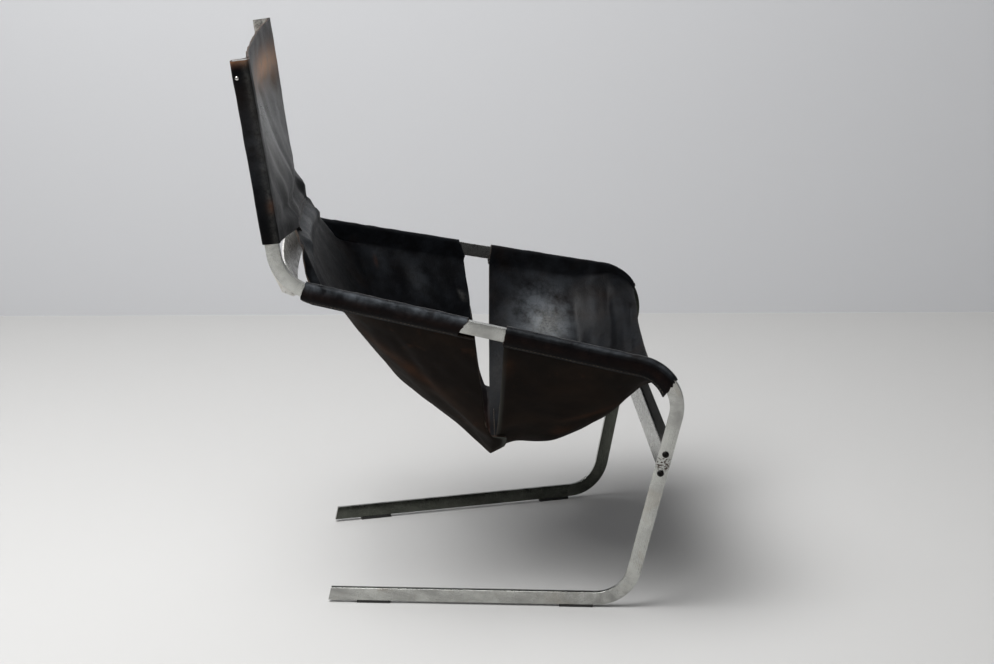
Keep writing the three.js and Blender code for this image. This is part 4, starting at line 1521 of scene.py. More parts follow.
    def dress(
        self,
        grain: bpy.types.Material,
        sleeve: bpy.types.Material,
        flesh: bpy.types.Material,
        edge: bpy.types.Material,
        thread: bpy.types.Material,
    ) -> bpy.types.Object:
        """Give the panel its thickness, its finishes and its stitches.

        Args:
            grain: Upper side.
            sleeve: Darker copy of the grain, painted shade, on the outer faces of the sleeves.
            flesh: Under side.
            edge: Cut edge.
            thread: Sewing thread.

        Returns:
            The piece.
        """
        layers = [grain, flesh, edge, sleeve, flesh, edge]
        piece = finished(f"leather_{self.name}", self.build(), layers, self.smooth_below)
        solid = piece.modifiers.new("thickness", "SOLIDIFY")
        solid.thickness = self.thickness
        solid.offset = 0.0
        solid.use_even_offset = False
        solid.material_offset = Layer.FLESH.value
        solid.material_offset_rim = Layer.EDGE.value
        made = bpy.data.meshes.new_from_object(piece.evaluated_get(bpy.context.evaluated_depsgraph_get()))
        piece.modifiers.clear()
        spare, piece.data = piece.data, made
        made.name = spare.name
        bpy.data.meshes.remove(spare)
        made.set_sharp_from_angle(angle=math.radians(self.smooth_below))
        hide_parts(self.name)
        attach(piece, "root")
        width, length, area = self.cut_size()
        sewn = [Stitching(f"stitches_{self.name}").dress(self.seams(), thread)]
        log.info("%s: cut %.3f by %.3f m, %.4f m2", self.name, width, length, area)
        return piece


@dataclass
class SeatPanel(Panel):
    """What the two seat panels share: the front panel's shape, to which the rear one is sewn."""

    front_over_bend: float = 0.054
    front_slant: float = 0.014
    front_fray: float = 3.0
    inner_rise: float = 0.45
    hem_column: int = 3
    trough_power: float = 2.0
    front_shares: tuple[tuple[float, float], ...] = (
        (0, 0),
        (0.14, 0.12),
        (0.37, 0.116),
        (0.52, 0.233),
        (0.7, 0.462),
        (0.86, 0.802),
        (1, 1),
    )

    @cached_property
    def sleeve_count(self) -> int:
        """Number of columns in a sleeve."""
        return len(self.arm_section(-self.hem))

    def front_middle(self, share: float) -> np.ndarray:
        """Follow the front panel's middle line."""
        return self.middle_curve(self.front_shares, self.keel, self.front_edge, share)

    def front_sleeve(self, share: float) -> np.ndarray:
        """Sleeve of one row of the front panel.

        Args:
            share: From 0 beside the slot to 1 at the front edge.

        Returns:
            Points from the hem to the inner side.
        """
        rise = float(smooth_share((share - self.inner_rise) / (1 - self.inner_rise)))
        top = self.half_width - 2 * self.crown_setback - self.thickness
        section = self.arm_section(float(mix(-self.hem, top, rise)))
        front_cut = self.line.arm_straight + self.front_over_bend
        front_cut = front_cut + self.front_slant * self.down_share(section)
        front_cut = front_cut + self.front_fray * self.frayed(len(section), 1)
        slot_cut = self.slot_start + self.slot_length + self.frayed(len(section), 2)
        return self.line.around(mix(slot_cut, front_cut, share), section)

    def front_hang(self, share: float, edge: np.ndarray, t: np.ndarray) -> np.ndarray:
        """Hang one row of the front panel from a sleeve's inner side."""
        return hanging(edge, self.front_middle(share), t, self.trough_power, self.trough_power)

    def front_row(self, share: float) -> np.ndarray:
        """Left half of one row of the front panel."""
        sleeve = self.front_sleeve(share)
        return np.concatenate((sleeve, self.front_hang(share, sleeve[-1], self.inward)))

    def seams(self) -> list[Line]:
        """Give the hems' stitches, along the foot of each sleeve."""
        return [self.trail(slice(1, self.rows), c) for c in (self.hem_column, -1 - self.hem_column)]


@dataclass
class FrontSeat(SeatPanel):
    """Front seat panel, from the keel up to the front edge."""

    name: str = "seat_front_panel"
    rows: int = 84
    row_power: float = 1.3
    far_over_bend: float = 0.063
    keel_row: int = 2
    keel_half: float = 0.105

    def grid(self) -> np.ndarray:
        """Join both halves of every row; the left sleeve reaches farther round the bend.

        Returns:
            Points by row and column.
        """
        near = self.half_rows() * (1, -1, 1)
        far = replace(self, front_over_bend=self.far_over_bend).half_rows()
        return np.concatenate((far, near[:, -2::-1]), axis=1)

    def seams(self) -> list[Line]:
        """Give the stitches of the hems and of the keel."""
        return [*super().seams(), self.trail(self.keel_row, self.between(self.keel_row, self.keel_half))]

    def half_rows(self) -> np.ndarray:
        """Give the left half of every row, from the keel's lap to the front edge."""
        shares = 1 - (1 - np.linspace(0, 1, self.rows + 1)) ** self.row_power
        return np.stack([self.front_row(float(share)) for share in shares])


@dataclass
class RearSeat(SeatPanel):
    """Rear seat panel, from the back seam down to the keel, and its margin under the front panel."""

    name: str = "seat_rear_panel"
    rows: int = 104
    margin_rows: int = 5
    back_over_bend: float = 0.013
    end_slant: float = 0.013
    cut_slant: float = 0.013
    inner_shift: float = 0.015
    edge_power: float = 5.5
    edge_reach_power: float = 3.0
    fade_power: float = 5.0
    late_power: float = 8.0
    lap_reach: float = 0.45
    lap_fade: float = 0.1
    lap_least: float = 0.02
    slot_open: float = 0.2
    keel_rise: float = 0.42
    rear_shares: tuple[tuple[float, float], ...] = (
        (0, 0),
        (0.23, 0.323),
        (0.46, 0.598),
        (0.68, 0.774),
        (0.88, 0.896),
        (1, 1),
    )

    def rear_middle(self, share: float) -> np.ndarray:
        """Follow the rear panel's middle line."""
        end = self.keel - (self.keel_step_back, self.keel_step_down)
        return self.middle_curve(self.rear_shares, self.seam_top, end, share)

    def rear_sleeve(self, share: float) -> np.ndarray:
        """Sleeve of one row of the rear panel.

        Args:
            share: From 0 at the rear to 1 beside the slot.

        Returns:
            Points from the hem to the inner side.
        """
        section = self.arm_section(-self.hem)
        inside = (section[:, 0] < 0) & (section[:, 1] < self.half_width)
        low = self.down_share(section)
        slot_cut = self.slot_start + np.where(inside, self.inner_shift, -self.cut_slant) * np.minimum(low, 1)
        slot_cut = slot_cut + self.frayed(len(section), 3)
        inner = 1 - smooth_share(0.5 + section[:, 0] / self.offset)
        rear_cut = self.end_slant * low * inner - self.back_over_bend + self.frayed(len(section), 4)
        return self.line.around(mix(rear_cut, slot_cut, share), section)

    def rear_sling(self, share: float, edge: np.ndarray, t: np.ndarray) -> np.ndarray:
        """Hang one row of the rear panel, drawn down under the front panel near the keel.

        Args:
            share: From 0 at the rear to 1 at the keel.
            edge: Point beside the sleeve.
            t: Shares outward from the middle line.

        Returns:
            Points of the chair.
        """
        to_rear = (1 - share) ** self.fade_power
        rise = float(mix(self.trough_power, self.edge_power, to_rear))
        reach = float(mix(self.trough_power, self.edge_reach_power, to_rear))
        points = hanging(edge, self.rear_middle(share), t, rise, reach)
        slot_edge = self.front_sleeve(0.0)[-1]
        sewn_t = points[:, 1] / slot_edge[1]
        sewn = self.front_hang(0.0, slot_edge, sewn_t)
        late = share**self.late_power
        closed = 1 - smooth_share((t - self.lap_reach) / self.slot_open)
        points[:, 0] += (sewn[:, 0] - self.keel_step_back - points[:, 0]) * closed * late
        down = self.keel_step_down + self.keel_rise * (sewn[:, 0] - self.keel_step_back - points[:, 0])
        low = 1 - smooth_share((t - self.lap_reach - self.lap_fade) / self.slot_open)
        points[:, 2] += (sewn[:, 2] - down - points[:, 2]) * low * late
        return points

    def rear_row(self, share: float) -> np.ndarray:
        """Left half of one row of the rear panel."""
        sleeve = self.rear_sleeve(share)
        return np.concatenate((sleeve, self.rear_sling(share, sleeve[-1], self.inward)))

    def margin(self) -> np.ndarray:
        """Turn the rear panel's last row forward under the front panel.

        Returns:
            Its left half.
        """
        lap = self.keel_lap / (self.front_edge[0] - self.keel[0])
        behind, beside, fold = self.front_row(0.0), self.front_row(lap), self.rear_row(1.0)
        lifted = np.cross(beside - behind, -np.gradient(beside, axis=0))
        lifted /= np.maximum(np.linalg.norm(lifted, axis=-1, keepdims=True), TINY)
        under = beside - lifted * (self.thickness + 2 * self.gap)
        t = np.concatenate((np.ones(self.sleeve_count), self.inward))
        reach = smooth_share((self.lap_reach + self.lap_fade - t) / self.lap_fade)
        return mix(fold, under, mix(self.lap_least, 1.0, reach)[:, None])

    def half_rows(self) -> np.ndarray:
        """Give the left half of every row, from the back seam to the margin's end.

        Returns:
            Points by row and column.
        """
        rows = [self.rear_row(float(share)) for share in np.linspace(0, 1, self.rows + 1)]
        fold, end = rows[-1], self.margin()
        rows += [mix(fold, end, (i + 1) / self.margin_rows) for i in range(self.margin_rows)]
        return np.stack(rows)


@dataclass
class BackPanel(RearSeat):
    """Back panel, sleeved over the posts and sewn to the seat's rear edge."""

    name: str = "back_panel"
    rows: int = 64
    lap_rows: int = 14
    seam_rows: tuple[int, int] = (-5, -11)
    seam_sink: float = 0.0012
    seam_groove: float = 0.0015
    end_above_bend: float = 0.019
    sag: float = 0.014
    top_dip: float = 0.005
    seam_lap: float = 0.014
    seam_half: float = 0.120
    free_half: float = 0.145
    hem_tail: float = 0.012
    edge_ease: float = 0.0007
    tail_steps: tuple[int, int, int] = (3, 4, 4)
    round_steps: int = 4
    side_steps: int = 6
    fall_share: float = 1 / 11
    shaded_columns: tuple[int, int] = (18, 28)
    sag_shares: tuple[tuple[float, float], ...] = (
        (0, -1),
        (0.14, -1.3),
        (0.29, -1.45),
        (0.43, -1.4),
        (0.57, -0.75),
        (0.71, 0.2),
        (0.86, 1.05),
        (1, 0),
    )

    @cached_property
    def post_section(self) -> np.ndarray:
        """Wrap from the tail behind the panel, round the post's inner, rear and outer faces."""
        o, t = self.offset, self.thickness
        front = self.half_width + self.gap + t / 2
        centre = front - self.crown_ease
        behind = front - t - self.gap
        ease = o - self.line.bar_thickness / 2 + self.edge_ease
        arc = np.radians(np.linspace(0, QUARTER_TURN, self.round_steps + 1))
        turn = arc + math.pi
        inner = self.crown_ease * np.stack((1 + np.cos(turn), np.sin(turn)), axis=-1) - (o, centre)
        corners = ((-o - self.hem_tail, behind), (-o - t, behind - t), (-o, 0), (-o, -centre))
        legs = zip(corners, corners[1:], self.tail_steps)
        points = [np.linspace(a, b, n, endpoint=False) for a, b, n in legs]
        points += [inner, [(0.0, -front - self.crown_rise)], inner[::-1] * (-1, 1)]
        points.append(np.linspace((o, -centre), (o, front - ease), self.side_steps + 1)[1:-1])
        points.append(np.stack((o - ease + ease * np.cos(arc), front - ease + ease * np.sin(arc)), axis=-1))
        points.append(np.linspace((o - ease, front), (-o, front), self.round_steps + 1)[1:])
        return np.concatenate(points)

    @cached_property
    def sleeve_count(self) -> int:
        """Number of columns in a sleeve."""
        return len(self.post_section)

    def seam_line(self, y: np.ndarray, below: float) -> np.ndarray:
        """Lay the sewn lap in front of the seat's rear edge.

        Args:
            y: Places across the chair.
            below: Distance below the edge.

        Returns:
            Points of the chair.
        """
        edge = self.rear_sleeve(0.0)[-1]
        on_edge = self.rear_sling(0.0, edge, np.minimum(y / edge[1], 1))
        fall = self.rear_middle(self.fall_share) - self.rear_middle(0.0)
        fall /= np.linalg.norm(fall)
        forward = np.array((-fall[2], 0, fall[0]))
        return on_edge + fall * below + forward * (self.thickness + self.gap)

    def back_row(self, share: float, lap_share: float) -> np.ndarray:
        """Left half of one row of the back panel.

        Args:
            share: From 0 at the top to 1 at the sleeve's foot.
            lap_share: Share of the panel that the sewn lap takes.

        Returns:
            Points from the tail to the middle.
        """
        top = -(self.line.bends[2].arc + self.line.post_straight)
        foot = -(self.line.bends[2].arc + self.end_above_bend)
        sleeve = self.line.around(np.full(self.sleeve_count, mix(top, foot, share)), self.post_section)
        edge = sleeve[-1]
        below = self.seam_lap * (1 - (1 - share) / lap_share)
        hung = min(share / (1 - lap_share), 1.0)
        sag = self.sag * curve_through(self.sag_shares, hung)[1]
        dip = self.top_dip * (1 - float(smooth_share(share / lap_share)))
        pull = float(smooth_share(1 - (1 - hung) / (2 * lap_share)))
        y = edge[1] * self.inward
        round_ = 1 - self.inward * self.inward
        free = np.stack((edge[0] + sag * round_, y, edge[2] - dip * round_), axis=-1)
        sewn = 1 - smooth_share((y - self.seam_half) / (self.free_half - self.seam_half))
        seam = self.seam_line(y, below)
        to_edge = np.clip((y - self.free_half) / (edge[1] - self.free_half), 0, 1)
        corner = self.seam_line(np.array((self.free_half,)), 0.0)[0]
        loose_x = mix(corner[0], edge[0], to_edge)
        loose_z = mix(self.seam_top[1] + self.seam_lap - below, edge[2], to_edge)
        loose = np.stack((loose_x, y, loose_z), axis=-1)
        return np.concatenate((sleeve, mix(free, mix(loose, seam, sewn[:, None]), pull)))

    def half_rows(self) -> np.ndarray:
        """Give the left half of every row, from the top edge to the sleeve's foot.

        Returns:
            Points by row and column.
        """
        lap = self.seam_lap / (self.line.post_straight - self.end_above_bend)
        on_lap = 1 - lap * np.linspace(1, 0, self.lap_rows + 1)[1:]
        shares = (*np.linspace(0, 1 - lap, self.rows + 1), *on_lap)
        return np.stack([self.back_row(float(share), lap) for share in shares])

    def seams(self) -> list[Line]:
        """Give the double line of stitches that joins the back to the seat."""
        return [self.trail(row, self.between(row, self.seam_half)) for row in self.seam_rows]

    def relief(self, a: np.ndarray, b: np.ndarray, grid: np.ndarray) -> np.ndarray:
        """Add the two grooves that the stitches pull into the lap.

        Args:
            a: Place along.
            b: Place across.
            grid: The panel's points.

        Returns:
            Heights toward the grain side.
        """
        height = super().relief(a, b, grid)
        sewn = smooth_share((self.free_half - np.abs(b)) / (self.free_half - self.seam_half))
        for row in self.seam_rows:
            height = height - self.seam_sink * sewn * np.exp(-(((a - a[row]) / self.seam_groove) ** 2))
        return height


# Studio


@dataclass(frozen=True)
class Lamp:
    """Soft square lamp: where it hangs, its power in watts, the side of the square and where it faces."""

    name: str
    place: Colour
    power: float
    size: float = 2.2
    aim: Colour = (0.0, 0.2, 0.2)

    def hang(self) -> None:
        """Add the lamp to the scene."""
        data = bpy.data.lights.new(self.name, "AREA")
        data.shape = "SQUARE"
        data.size = self.size
        data.energy = self.power
        lamp = bpy.data.objects.new(self.name, data)
        turn = (Vector(self.aim) - Vector(self.place)).to_track_quat("-Z", "Y").to_matrix().to_4x4()
        lamp.matrix_world = Matrix.Translation(self.place) @ turn
        bpy.context.scene.collection.objects.link(lamp)


@dataclass(frozen=True)
class Studio:
    """Pale floor and wall, soft lights and the camera."""

    eye: Colour = (-0.071016, -3.658056, 1.364209)
    yaw: float = 0.036149
    pitch: float = -0.256026
    roll: float = -0.030963
    focal_pixels: float = 2175.37
    image_width: int = 994
    sensor: float = 36.0
    sight: float = 60.0
    wall_distance: float = 1.75
    wall_height: float = 4.0
    cove: float = 0.0006
    cove_steps: int = 24
    wall_turn: float = -0.145
    reach: float = 6.0
    air: Colour = (0.93, 0.96, 1.0)
    air_strength: float = 0.02
    seen_air: Colour = (0.58, 0.58, 0.60)
    lamps: tuple[Lamp, ...] = (
        Lamp("high", (-0.92, -0.16, 3.47), 62),
        Lamp("left", (-1.30, -0.47, 3.31), 45),
        Lamp("front_left", (-1.39, -0.98, 3.14), 90),
        Lamp("front", (0.0, -2.19, 2.81), 15),
    )
    floor_tone: Colour = (0.50, 0.497, 0.49)
    wall_tone: Colour = (0.57, 0.575, 0.59)

    def camera(self) -> None:
        """Place the camera as the photograph's was."""
        level = math.cos(self.pitch)
        forward = Vector((math.sin(self.yaw) * level, math.cos(self.yaw) * level, math.sin(self.pitch)))
        right = Vector((math.cos(self.yaw), -math.sin(self.yaw), 0))
        up = right.cross(forward)
        turned_right = right * math.cos(self.roll) + up * math.sin(self.roll)
        turned_up = up * math.cos(self.roll) - right * math.sin(self.roll)
        data = bpy.data.cameras.new("camera")
        data.sensor_width = self.sensor
        data.lens = self.focal_pixels / self.image_width * self.sensor
        data.clip_end = self.sight
        camera = bpy.data.objects.new("camera", data)
        rotation = Matrix((turned_right, turned_up, -forward)).transposed().to_4x4()
        camera.matrix_world = Matrix.Translation(self.eye) @ rotation
        bpy.context.scene.collection.objects.link(camera)
        bpy.context.scene.camera = camera

    def backdrop(self) -> None:
        """Build floor and wall as one swept sheet."""
        bm = bmesh.new()
        bmesh.ops.create_grid(bm, x_segments=1, y_segments=1, size=self.reach)
        bmesh.ops.translate(bm, verts=bm.verts, vec=(0, self.wall_distance - self.cove - self.reach, 0))
        far = max(v.co.y for v in bm.verts)
        edge = [e for e in bm.edges if all(abs(v.co.y - far) < SAME_POINT for v in e.verts)]
        spun = bmesh.ops.spin(
            bm,
            geom=edge,
            cent=(0, far, self.cove),
            axis=(1, 0, 0),
            dvec=(0, 0, 0),
            angle=math.pi / 2,
            steps=self.cove_steps,
            use_merge=False,
            use_duplicate=False,
        )
        last = [g for g in spun["geom_last"] if isinstance(g, bmesh.types.BMEdge)]
        grown = bmesh.ops.extrude_edge_only(bm, edges=last)["geom"]
        top = [g for g in grown if isinstance(g, bmesh.types.BMVert)]
        bmesh.ops.translate(bm, verts=top, vec=(0, 0, self.wall_height))
        bmesh.ops.remove_doubles(bm, verts=bm.verts, dist=SAME_POINT)
        bmesh.ops.recalc_face_normals(bm, faces=bm.faces)
        if max(bm.faces, key=lambda f: f.calc_area()).normal.z < 0:
            bmesh.ops.reverse_faces(bm, faces=bm.faces)
        for f in bm.faces:
            f.material_index = int(f.calc_center_median().y > far)
        turn = Matrix.Rotation(self.wall_turn, 3, "Z")
        bmesh.ops.rotate(bm, cent=(0, self.wall_distance, 0), matrix=turn, verts=bm.verts)
        floor = StudioPaper("studio_floor_paper", self.floor_tone).make()
        wall = StudioPaper("studio_wall_paper", self.wall_tone, one_sided=True).make()
        finished("studio_floor", bm, [floor, wall])

    def light(self) -> None:
        """Light the room from above and the left; its air adds little, and the camera sees it grey."""
        world = bpy.data.worlds.new("studio_air")
        world.use_nodes = True
        tree = world.node_tree
        air = tree.nodes["Background"]
        air.inputs["Color"].default_value = (*self.air, 1)
        air.inputs["Strength"].default_value = self.air_strength
        seen = tree.nodes.new("ShaderNodeBackground")
        seen.inputs["Color"].default_value = (*self.seen_air, 1)
        path = tree.nodes.new("ShaderNodeLightPath")
        either = tree.nodes.new("ShaderNodeMixShader")
        tree.links.new(path.outputs["Is Camera Ray"], either.inputs[0])
        tree.links.new(air.outputs[0], either.inputs[1])
        tree.links.new(seen.outputs[0], either.inputs[2])
        tree.links.new(either.outputs[0], tree.nodes["World Output"].inputs["Surface"])
        bpy.context.scene.world = world
        for lamp in self.lamps:
            lamp.hang()
        bpy.context.scene.view_settings.view_transform = "Standard"


@dataclass
class Refined:
    """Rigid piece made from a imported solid: its facets are merged and its edges eased."""

    node: str
    ease: float = 0.0003
    sharp: float = 35.0
    merged: float = 2e-6
    flat_below: float = 1.5
    faces_there: float = 0.6
    smooth_below: float = 30.0

    def dress(
        self,
        slot: str,
        finish: bpy.types.Material,
        shade: bpy.types.Material | None = None,
        facing: Colour = (0, 0, 1),
    ) -> bpy.types.Object:
        """Make the piece.

        Args:
            slot: The record's material slot; not used.
            finish: Its finish.
            shade: Darker finish, painted shade, of the faces that look one way, or None.
            facing: The way that the shaded faces look.

        Returns:
            The piece.
        """
        bm = bmesh.new()
        bm.from_mesh(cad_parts[self.node].data)
        bmesh.ops.remove_doubles(bm, verts=bm.verts, dist=self.merged)
        flat, sharp = math.radians(self.flat_below), math.radians(self.sharp)
        bmesh.ops.dissolve_limit(bm, angle_limit=flat, verts=bm.verts, edges=bm.edges)
        edges = [e for e in bm.edges if len(e.link_faces) == 2 and e.calc_face_angle(0) > sharp]
        bmesh.ops.bevel(
            bm,
            geom=edges,
            offset=self.ease,
            offset_type="OFFSET",
            segments=2,
            profile=0.5,
            affect="EDGES",
            material=-1,
            clamp_overlap=True,
        )
        bm.normal_update()
        way = Vector(facing).normalized()
        for f in bm.faces:
            f.material_index = int(shade is not None and f.normal.dot(way) > self.faces_there)
        finishes = [finish, shade] if shade else [finish]
        piece = finished(f"eased_{self.node}", bm, finishes, self.smooth_below)
        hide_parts(self.node)
        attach(piece, "root")
        return piece


@dataclass
class Hardware:
    """Braces, fasteners and glides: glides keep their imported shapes, and the rest are eased copies."""

    front: BrushedSteel = BrushedSteel("front_brace_steel", follows_bar=False, rust_share=0.05)
    # Darker finish of the front brace's upward flange, which lies in the seat's shade: painted shade.
    front_flange_shade: PlainMetal = PlainMetal(
        "front_brace_painted_shade",
        colour=(0.085, 0.086, 0.080),
        worn=(0.15, 0.15, 0.14),
        roughness=0.7,
        metal=0.0,
        ior=1.12,
    )
    faces_in_shade: Colour = (0.24, 0.0, 0.97)
    rear: BrushedSteel = BrushedSteel(
        "rear_brace_steel",
        pale=(0.84, 0.83, 0.79),
        dark=(0.52, 0.51, 0.48),
        metal=0.15,
        follows_bar=False,
        rust_share=0.2,
    )
    bolts: PlainMetal = PlainMetal("black_oxide", (0.012, 0.012, 0.012), (0.035, 0.026, 0.020), 0.42)
    bolt_ease: float = 0.0002
    screws: PlainMetal = PlainMetal("bright_screw", (0.72, 0.71, 0.68), (0.42, 0.40, 0.36), 0.22)
    screw_ease: float = 0.0001
    glides: GlidePlastic = GlidePlastic()

    def dress(self) -> None:
        """Give every brace, fastener and glide its shape and its finish."""
        # inside is the darker finish of the brace's upward flange: painted shade.
        front, inside = self.front.make(), self.front_flange_shade.make()
        rear = replace(self.rear, rust_below=float(middle_of("rear_cross_brace")[2])).make()
        bolts, screws, glides = self.bolts.make(), self.screws.make(), self.glides.make()
        for name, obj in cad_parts.items():
            if name == "front_cross_brace":
                Refined(name).dress("steel", front, inside, self.faces_in_shade)
            elif name == "rear_cross_brace":
                Refined(name).dress("steel", rear)
            elif name.startswith("brace_"):
                Refined(name, self.bolt_ease).dress("bolts", bolts)
            elif name.startswith("sleeve_screw"):
                Refined(name, self.screw_ease).dress("screws", screws)
            elif name.startswith("glide"):
                for slot in obj.material_slots:
                    slot.material = glides
            else:
                continue
            log.info("finished %s", name)


def middle_of(node: str) -> np.ndarray:
    """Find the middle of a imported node's box."""
    return np.mean([tuple(corner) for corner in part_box(node)], axis=0)


# What use has done to this chair's leather, with painted highlights and sheen, read off the photograph

BACK_FOLDS = (
    Fold(((0.09, -0.07), (0.18, -0.10), (0.285, -0.075)), 0.026, -0.0034),
    Fold(((0.12, 0.00), (0.20, -0.03), (0.29, -0.02)), 0.020, 0.0026),
    Fold(((0.10, 0.08), (0.19, 0.05), (0.29, 0.03)), 0.020, -0.0030),
    Fold(((0.13, 0.16), (0.20, 0.12), (0.285, 0.08)), 0.026, 0.0018),
    Fold(((0.10, -0.21), (0.19, -0.17), (0.275, -0.13)), 0.034, 0.0036),
    Fold(((0.16, -0.24), (0.23, -0.20), (0.275, -0.16)), 0.022, -0.0022),
    Fold(((0.095, -0.24), (0.085, 0.0), (0.10, 0.22)), 0.018, -0.0040),
)
BACK_MARKS = (
    Mark(Trace.RUBBED_AND_HIGHLIGHT, 0.066, 0.140, 0.034, 0.16, 1.0),
    Mark(Trace.STAIN, 0.064, 0.140, 0.034, 0.18, 0.95),
    # Broad pale mark over the back: painted sheen.
    Mark(Trace.BLOOM, 0.135, -0.04, 0.080, 0.19, 1.0),
    Mark(Trace.RUBBED_AND_HIGHLIGHT, 0.13, 0.23, 0.045, 0.03, 0.45),
    Mark(Trace.RUBBED_AND_HIGHLIGHT, 0.15, -0.12, 0.070, 0.07, 0.40),
    Mark(Trace.RUBBED_AND_HIGHLIGHT, 0.19, -0.262, 0.006, 0.004, 0.7),
    Mark(Trace.STAIN, 0.24, -0.27, 0.010, 0.008, 0.4),
    Mark(Trace.STAIN, 0.0, -0.33, 0.0045, 0.06, 1.0),
    Mark(Trace.RUBBED_AND_HIGHLIGHT, 0.0, 0.33, 0.050, 0.05, 1.0),
    Mark(Trace.RUBBED_AND_HIGHLIGHT, 0.0, 0.0, 0.004, 0.28, 0.5),
    Mark(Trace.POLISH, 0.13, 0.0, 0.10, 0.30, 1.0),
)
REAR_FOLDS = (
    Fold(((0.036, -0.13), (0.034, 0.0), (0.036, 0.14)), 0.014, 0.0085),
    Fold(((0.036, 0.140), (0.055, 0.175), (0.082, 0.200)), 0.014, 0.0042),
    Fold(((0.036, -0.140), (0.055, -0.175), (0.082, -0.200)), 0.014, 0.0042),
    Fold(((0.0, 0.21), (0.05, 0.25)), 0.010, -0.0030),
    Fold(((0.0, -0.20), (0.05, -0.235)), 0.010, 0.0045),
    Fold(((0.0, -0.25), (0.04, -0.27)), 0.010, -0.0040),
    Fold(((0.30, 0.05), (0.40, 0.20), (0.45, 0.32)), 0.035, 0.0025),
    Fold(((0.36, -0.28), (0.44, -0.18), (0.52, -0.10)), 0.025, 0.0025),
)
REAR_MARKS = (
    # Pale band over the roll below the back seam: painted sheen.
    Mark(Trace.BLOOM, 0.030, 0.0, 0.020, 0.200, 0.60),
    Mark(Trace.POLISH, 0.036, 0.0, 0.018, 0.200, 0.6),
    # Pale patches inside the seat: painted sheen.
    Mark(Trace.BLOOM, 0.090, 0.190, 0.035, 0.035, 0.20),
    Mark(Trace.BLOOM, 0.285, 0.280, 0.035, 0.025, 0.12),
    Mark(Trace.BLOOM, 0.43, 0.31, 0.045, 0.030, 0.10),
    Mark(Trace.STAIN, 0.279, 0.265, 0.008, 0.010, 0.20),
    # Pale lines along the slot's edges: painted highlights on the ridges.
    Mark(Trace.RUBBED_AND_HIGHLIGHT, 0.572, 0.300, 0.004, 0.100, 0.35),
    Mark(Trace.RUBBED_AND_HIGHLIGHT, 0.547, 0.350, 0.004, 0.005, 0.3),
    Mark(Trace.RUBBED_AND_HIGHLIGHT, 0.574, -0.170, 0.005, 0.110, 0.5),
    Mark(Trace.STAIN, 0.35, -0.208, 0.13, 0.022, 0.80),
    Mark(Trace.STAIN, 0.545, 0.0, 0.02, 0.10, 0.25),
)
FRONT_FOLDS = (
    Fold(((0.158, 0.385), (0.176, 0.25), (0.184, 0.12)), 0.015, -0.0058),
    Fold(((0.215, 0.380), (0.214, 0.25), (0.206, 0.12)), 0.014, 0.0018),
    Fold(((0.256, 0.350), (0.260, 0.22), (0.246, 0.10)), 0.012, -0.0035),
    Fold(((0.296, 0.300), (0.296, 0.20), (0.285, 0.08)), 0.008, 0.0020),
    Fold(((0.312, 0.260), (0.302, 0.10)), 0.006, -0.0022, True),
    Fold(((0.060, 0.425), (0.068, 0.40), (0.076, 0.375)), 0.006, -0.0020, True),
    Fold(((0.12, -0.34), (0.15, -0.20), (0.16, -0.08)), 0.030, 0.0010),
    Fold(((0.20, -0.36), (0.21, -0.22), (0.20, -0.10)), 0.024, -0.0006),
)
FRONT_MARKS = (
    # Glossy pale patch on the far inner wall: painted highlight.
    Mark(Trace.POLISH, 0.112, 0.295, 0.050, 0.060, 1.0),
    Mark(Trace.BLOOM, 0.105, 0.290, 0.050, 0.060, 1.0),
    Mark(Trace.RUBBED_AND_HIGHLIGHT, 0.112, 0.285, 0.030, 0.032, 0.40),
    # Pale line on a fold's ridge: painted highlight.
    Mark(Trace.BLOOM, 0.214, 0.300, 0.012, 0.070, 0.10),
    Mark(Trace.RUBBED_AND_HIGHLIGHT, 0.336, 0.0, 0.006, 0.400, 0.35),
    Mark(Trace.RUBBED_AND_HIGHLIGHT, 0.0, -0.25, 0.004, 0.12, 0.35),
    Mark(Trace.STAIN, 0.116, -0.158, 0.018, 0.016, 0.7),
    Mark(Trace.STAIN, 0.167, -0.208, 0.045, 0.010, 0.7),
    Mark(Trace.STAIN, 0.008, -0.36, 0.010, 0.020, 0.6),
)
POST_WEAR = ((27.0, 1.8, Trace.RUBBED_AND_HIGHLIGHT, 0.16), (16.0, 3.0, Trace.POLISH, 0.6))
ARM_WEAR_AND_HIGHLIGHT = (
    # Pale line along the hem: wear, and a painted highlight of its folded edge.
    (2.0, 1.1, Trace.RUBBED_AND_HIGHLIGHT, 0.12),
    (17.0, 5.0, Trace.POLISH, 1.0),
    (8.0, 3.0, Trace.STAIN, 0.06),
)
# Pale bands along the sleeves' crowns: painted highlight.
REAR_ARM_WEAR_AND_HIGHLIGHT = (*ARM_WEAR_AND_HIGHLIGHT, (13.5, 2.8, Trace.BLOOM, 0.80))
FRONT_ARM_WEAR_AND_HIGHLIGHT = (*ARM_WEAR_AND_HIGHLIGHT, (14.5, 2.0, Trace.BLOOM, 0.35))


# Finishes that differ from their class's own values

# Darker copy of the brushed steel for the side frames' inward low faces and runner tops: painted shade.
STEEL_PAINTED_SHADE = BrushedSteel("steel_painted_shade", pale=(0.105, 0.110, 0.094), dark=(0.056, 0.059, 0.051))
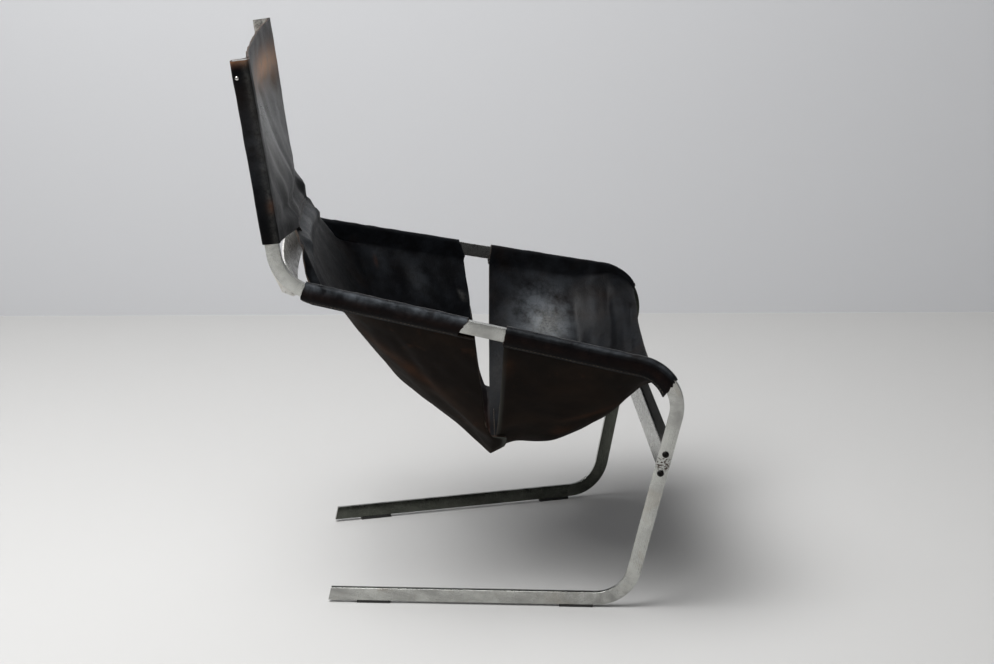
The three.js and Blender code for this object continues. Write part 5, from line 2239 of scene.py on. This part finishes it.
# Darker copy of the grain for the sleeves' outer faces: painted shade.
SLEEVE_GRAIN_SHADE = GrainLeather("leather_grain_sleeve_shade", bloom=(0.0030, 0.0030, 0.0036), ior=1.13)
# Brighter pale marks, for the painted sheen over the back.
BACK_GRAIN = GrainLeather("leather_grain_back", sheen_and_dust=(0.20, 0.207, 0.205), ior=1.28)
REAR_GRAIN = GrainLeather("leather_grain_rear", ior=1.17)
# Bluish grey pale marks, for the painted highlight on the far inner wall.
FRONT_GRAIN = GrainLeather("leather_grain_front", sheen_and_dust=(0.125, 0.137, 0.152), ior=1.19)
# From the middle between two brace bolts to the middle of the rust on the leg's face
RUST_SHIFT = (0.002, 0, 0.001)


def main() -> None:
    """Build the chair's visible pieces in order."""
    logging.basicConfig(level=logging.INFO, format="%(name)s: %(message)s")
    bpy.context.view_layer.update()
    studio = Studio()
    studio.camera()
    studio.backdrop()
    studio.light()
    bolts = np.array([middle_of(name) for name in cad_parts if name.startswith("brace_bolt")])
    between = [bolts[bolts[:, 1] * side > 0].mean(axis=0) + RUST_SHIFT for side in (1, -1)]
    steel = BrushedSteel(rust_at=tuple(tuple(point) for point in between)).make()
    steel_in_shade = STEEL_PAINTED_SHADE.make()
    for side in (1, -1):
        log.info("made %s", SideFrame(side).dress(steel, steel_in_shade).name)
    Hardware().dress()
    finishes = [finish.make() for finish in (SLEEVE_GRAIN_SHADE, FleshLeather(), CutLeather(), WaxedThread())]
    panels = (
        BackPanel(seed=3, folds=BACK_FOLDS, marks=BACK_MARKS, column_marks=POST_WEAR),
        RearSeat(seed=11, folds=REAR_FOLDS, marks=REAR_MARKS, column_marks=REAR_ARM_WEAR_AND_HIGHLIGHT),
        FrontSeat(seed=23, folds=FRONT_FOLDS, marks=FRONT_MARKS, column_marks=FRONT_ARM_WEAR_AND_HIGHLIGHT),
    )
    for panel, grain in zip(panels, (BACK_GRAIN, REAR_GRAIN, FRONT_GRAIN)):
        log.info("made %s", panel.dress(grain.make(), *finishes).name)


if __name__ == "__main__":
    main()
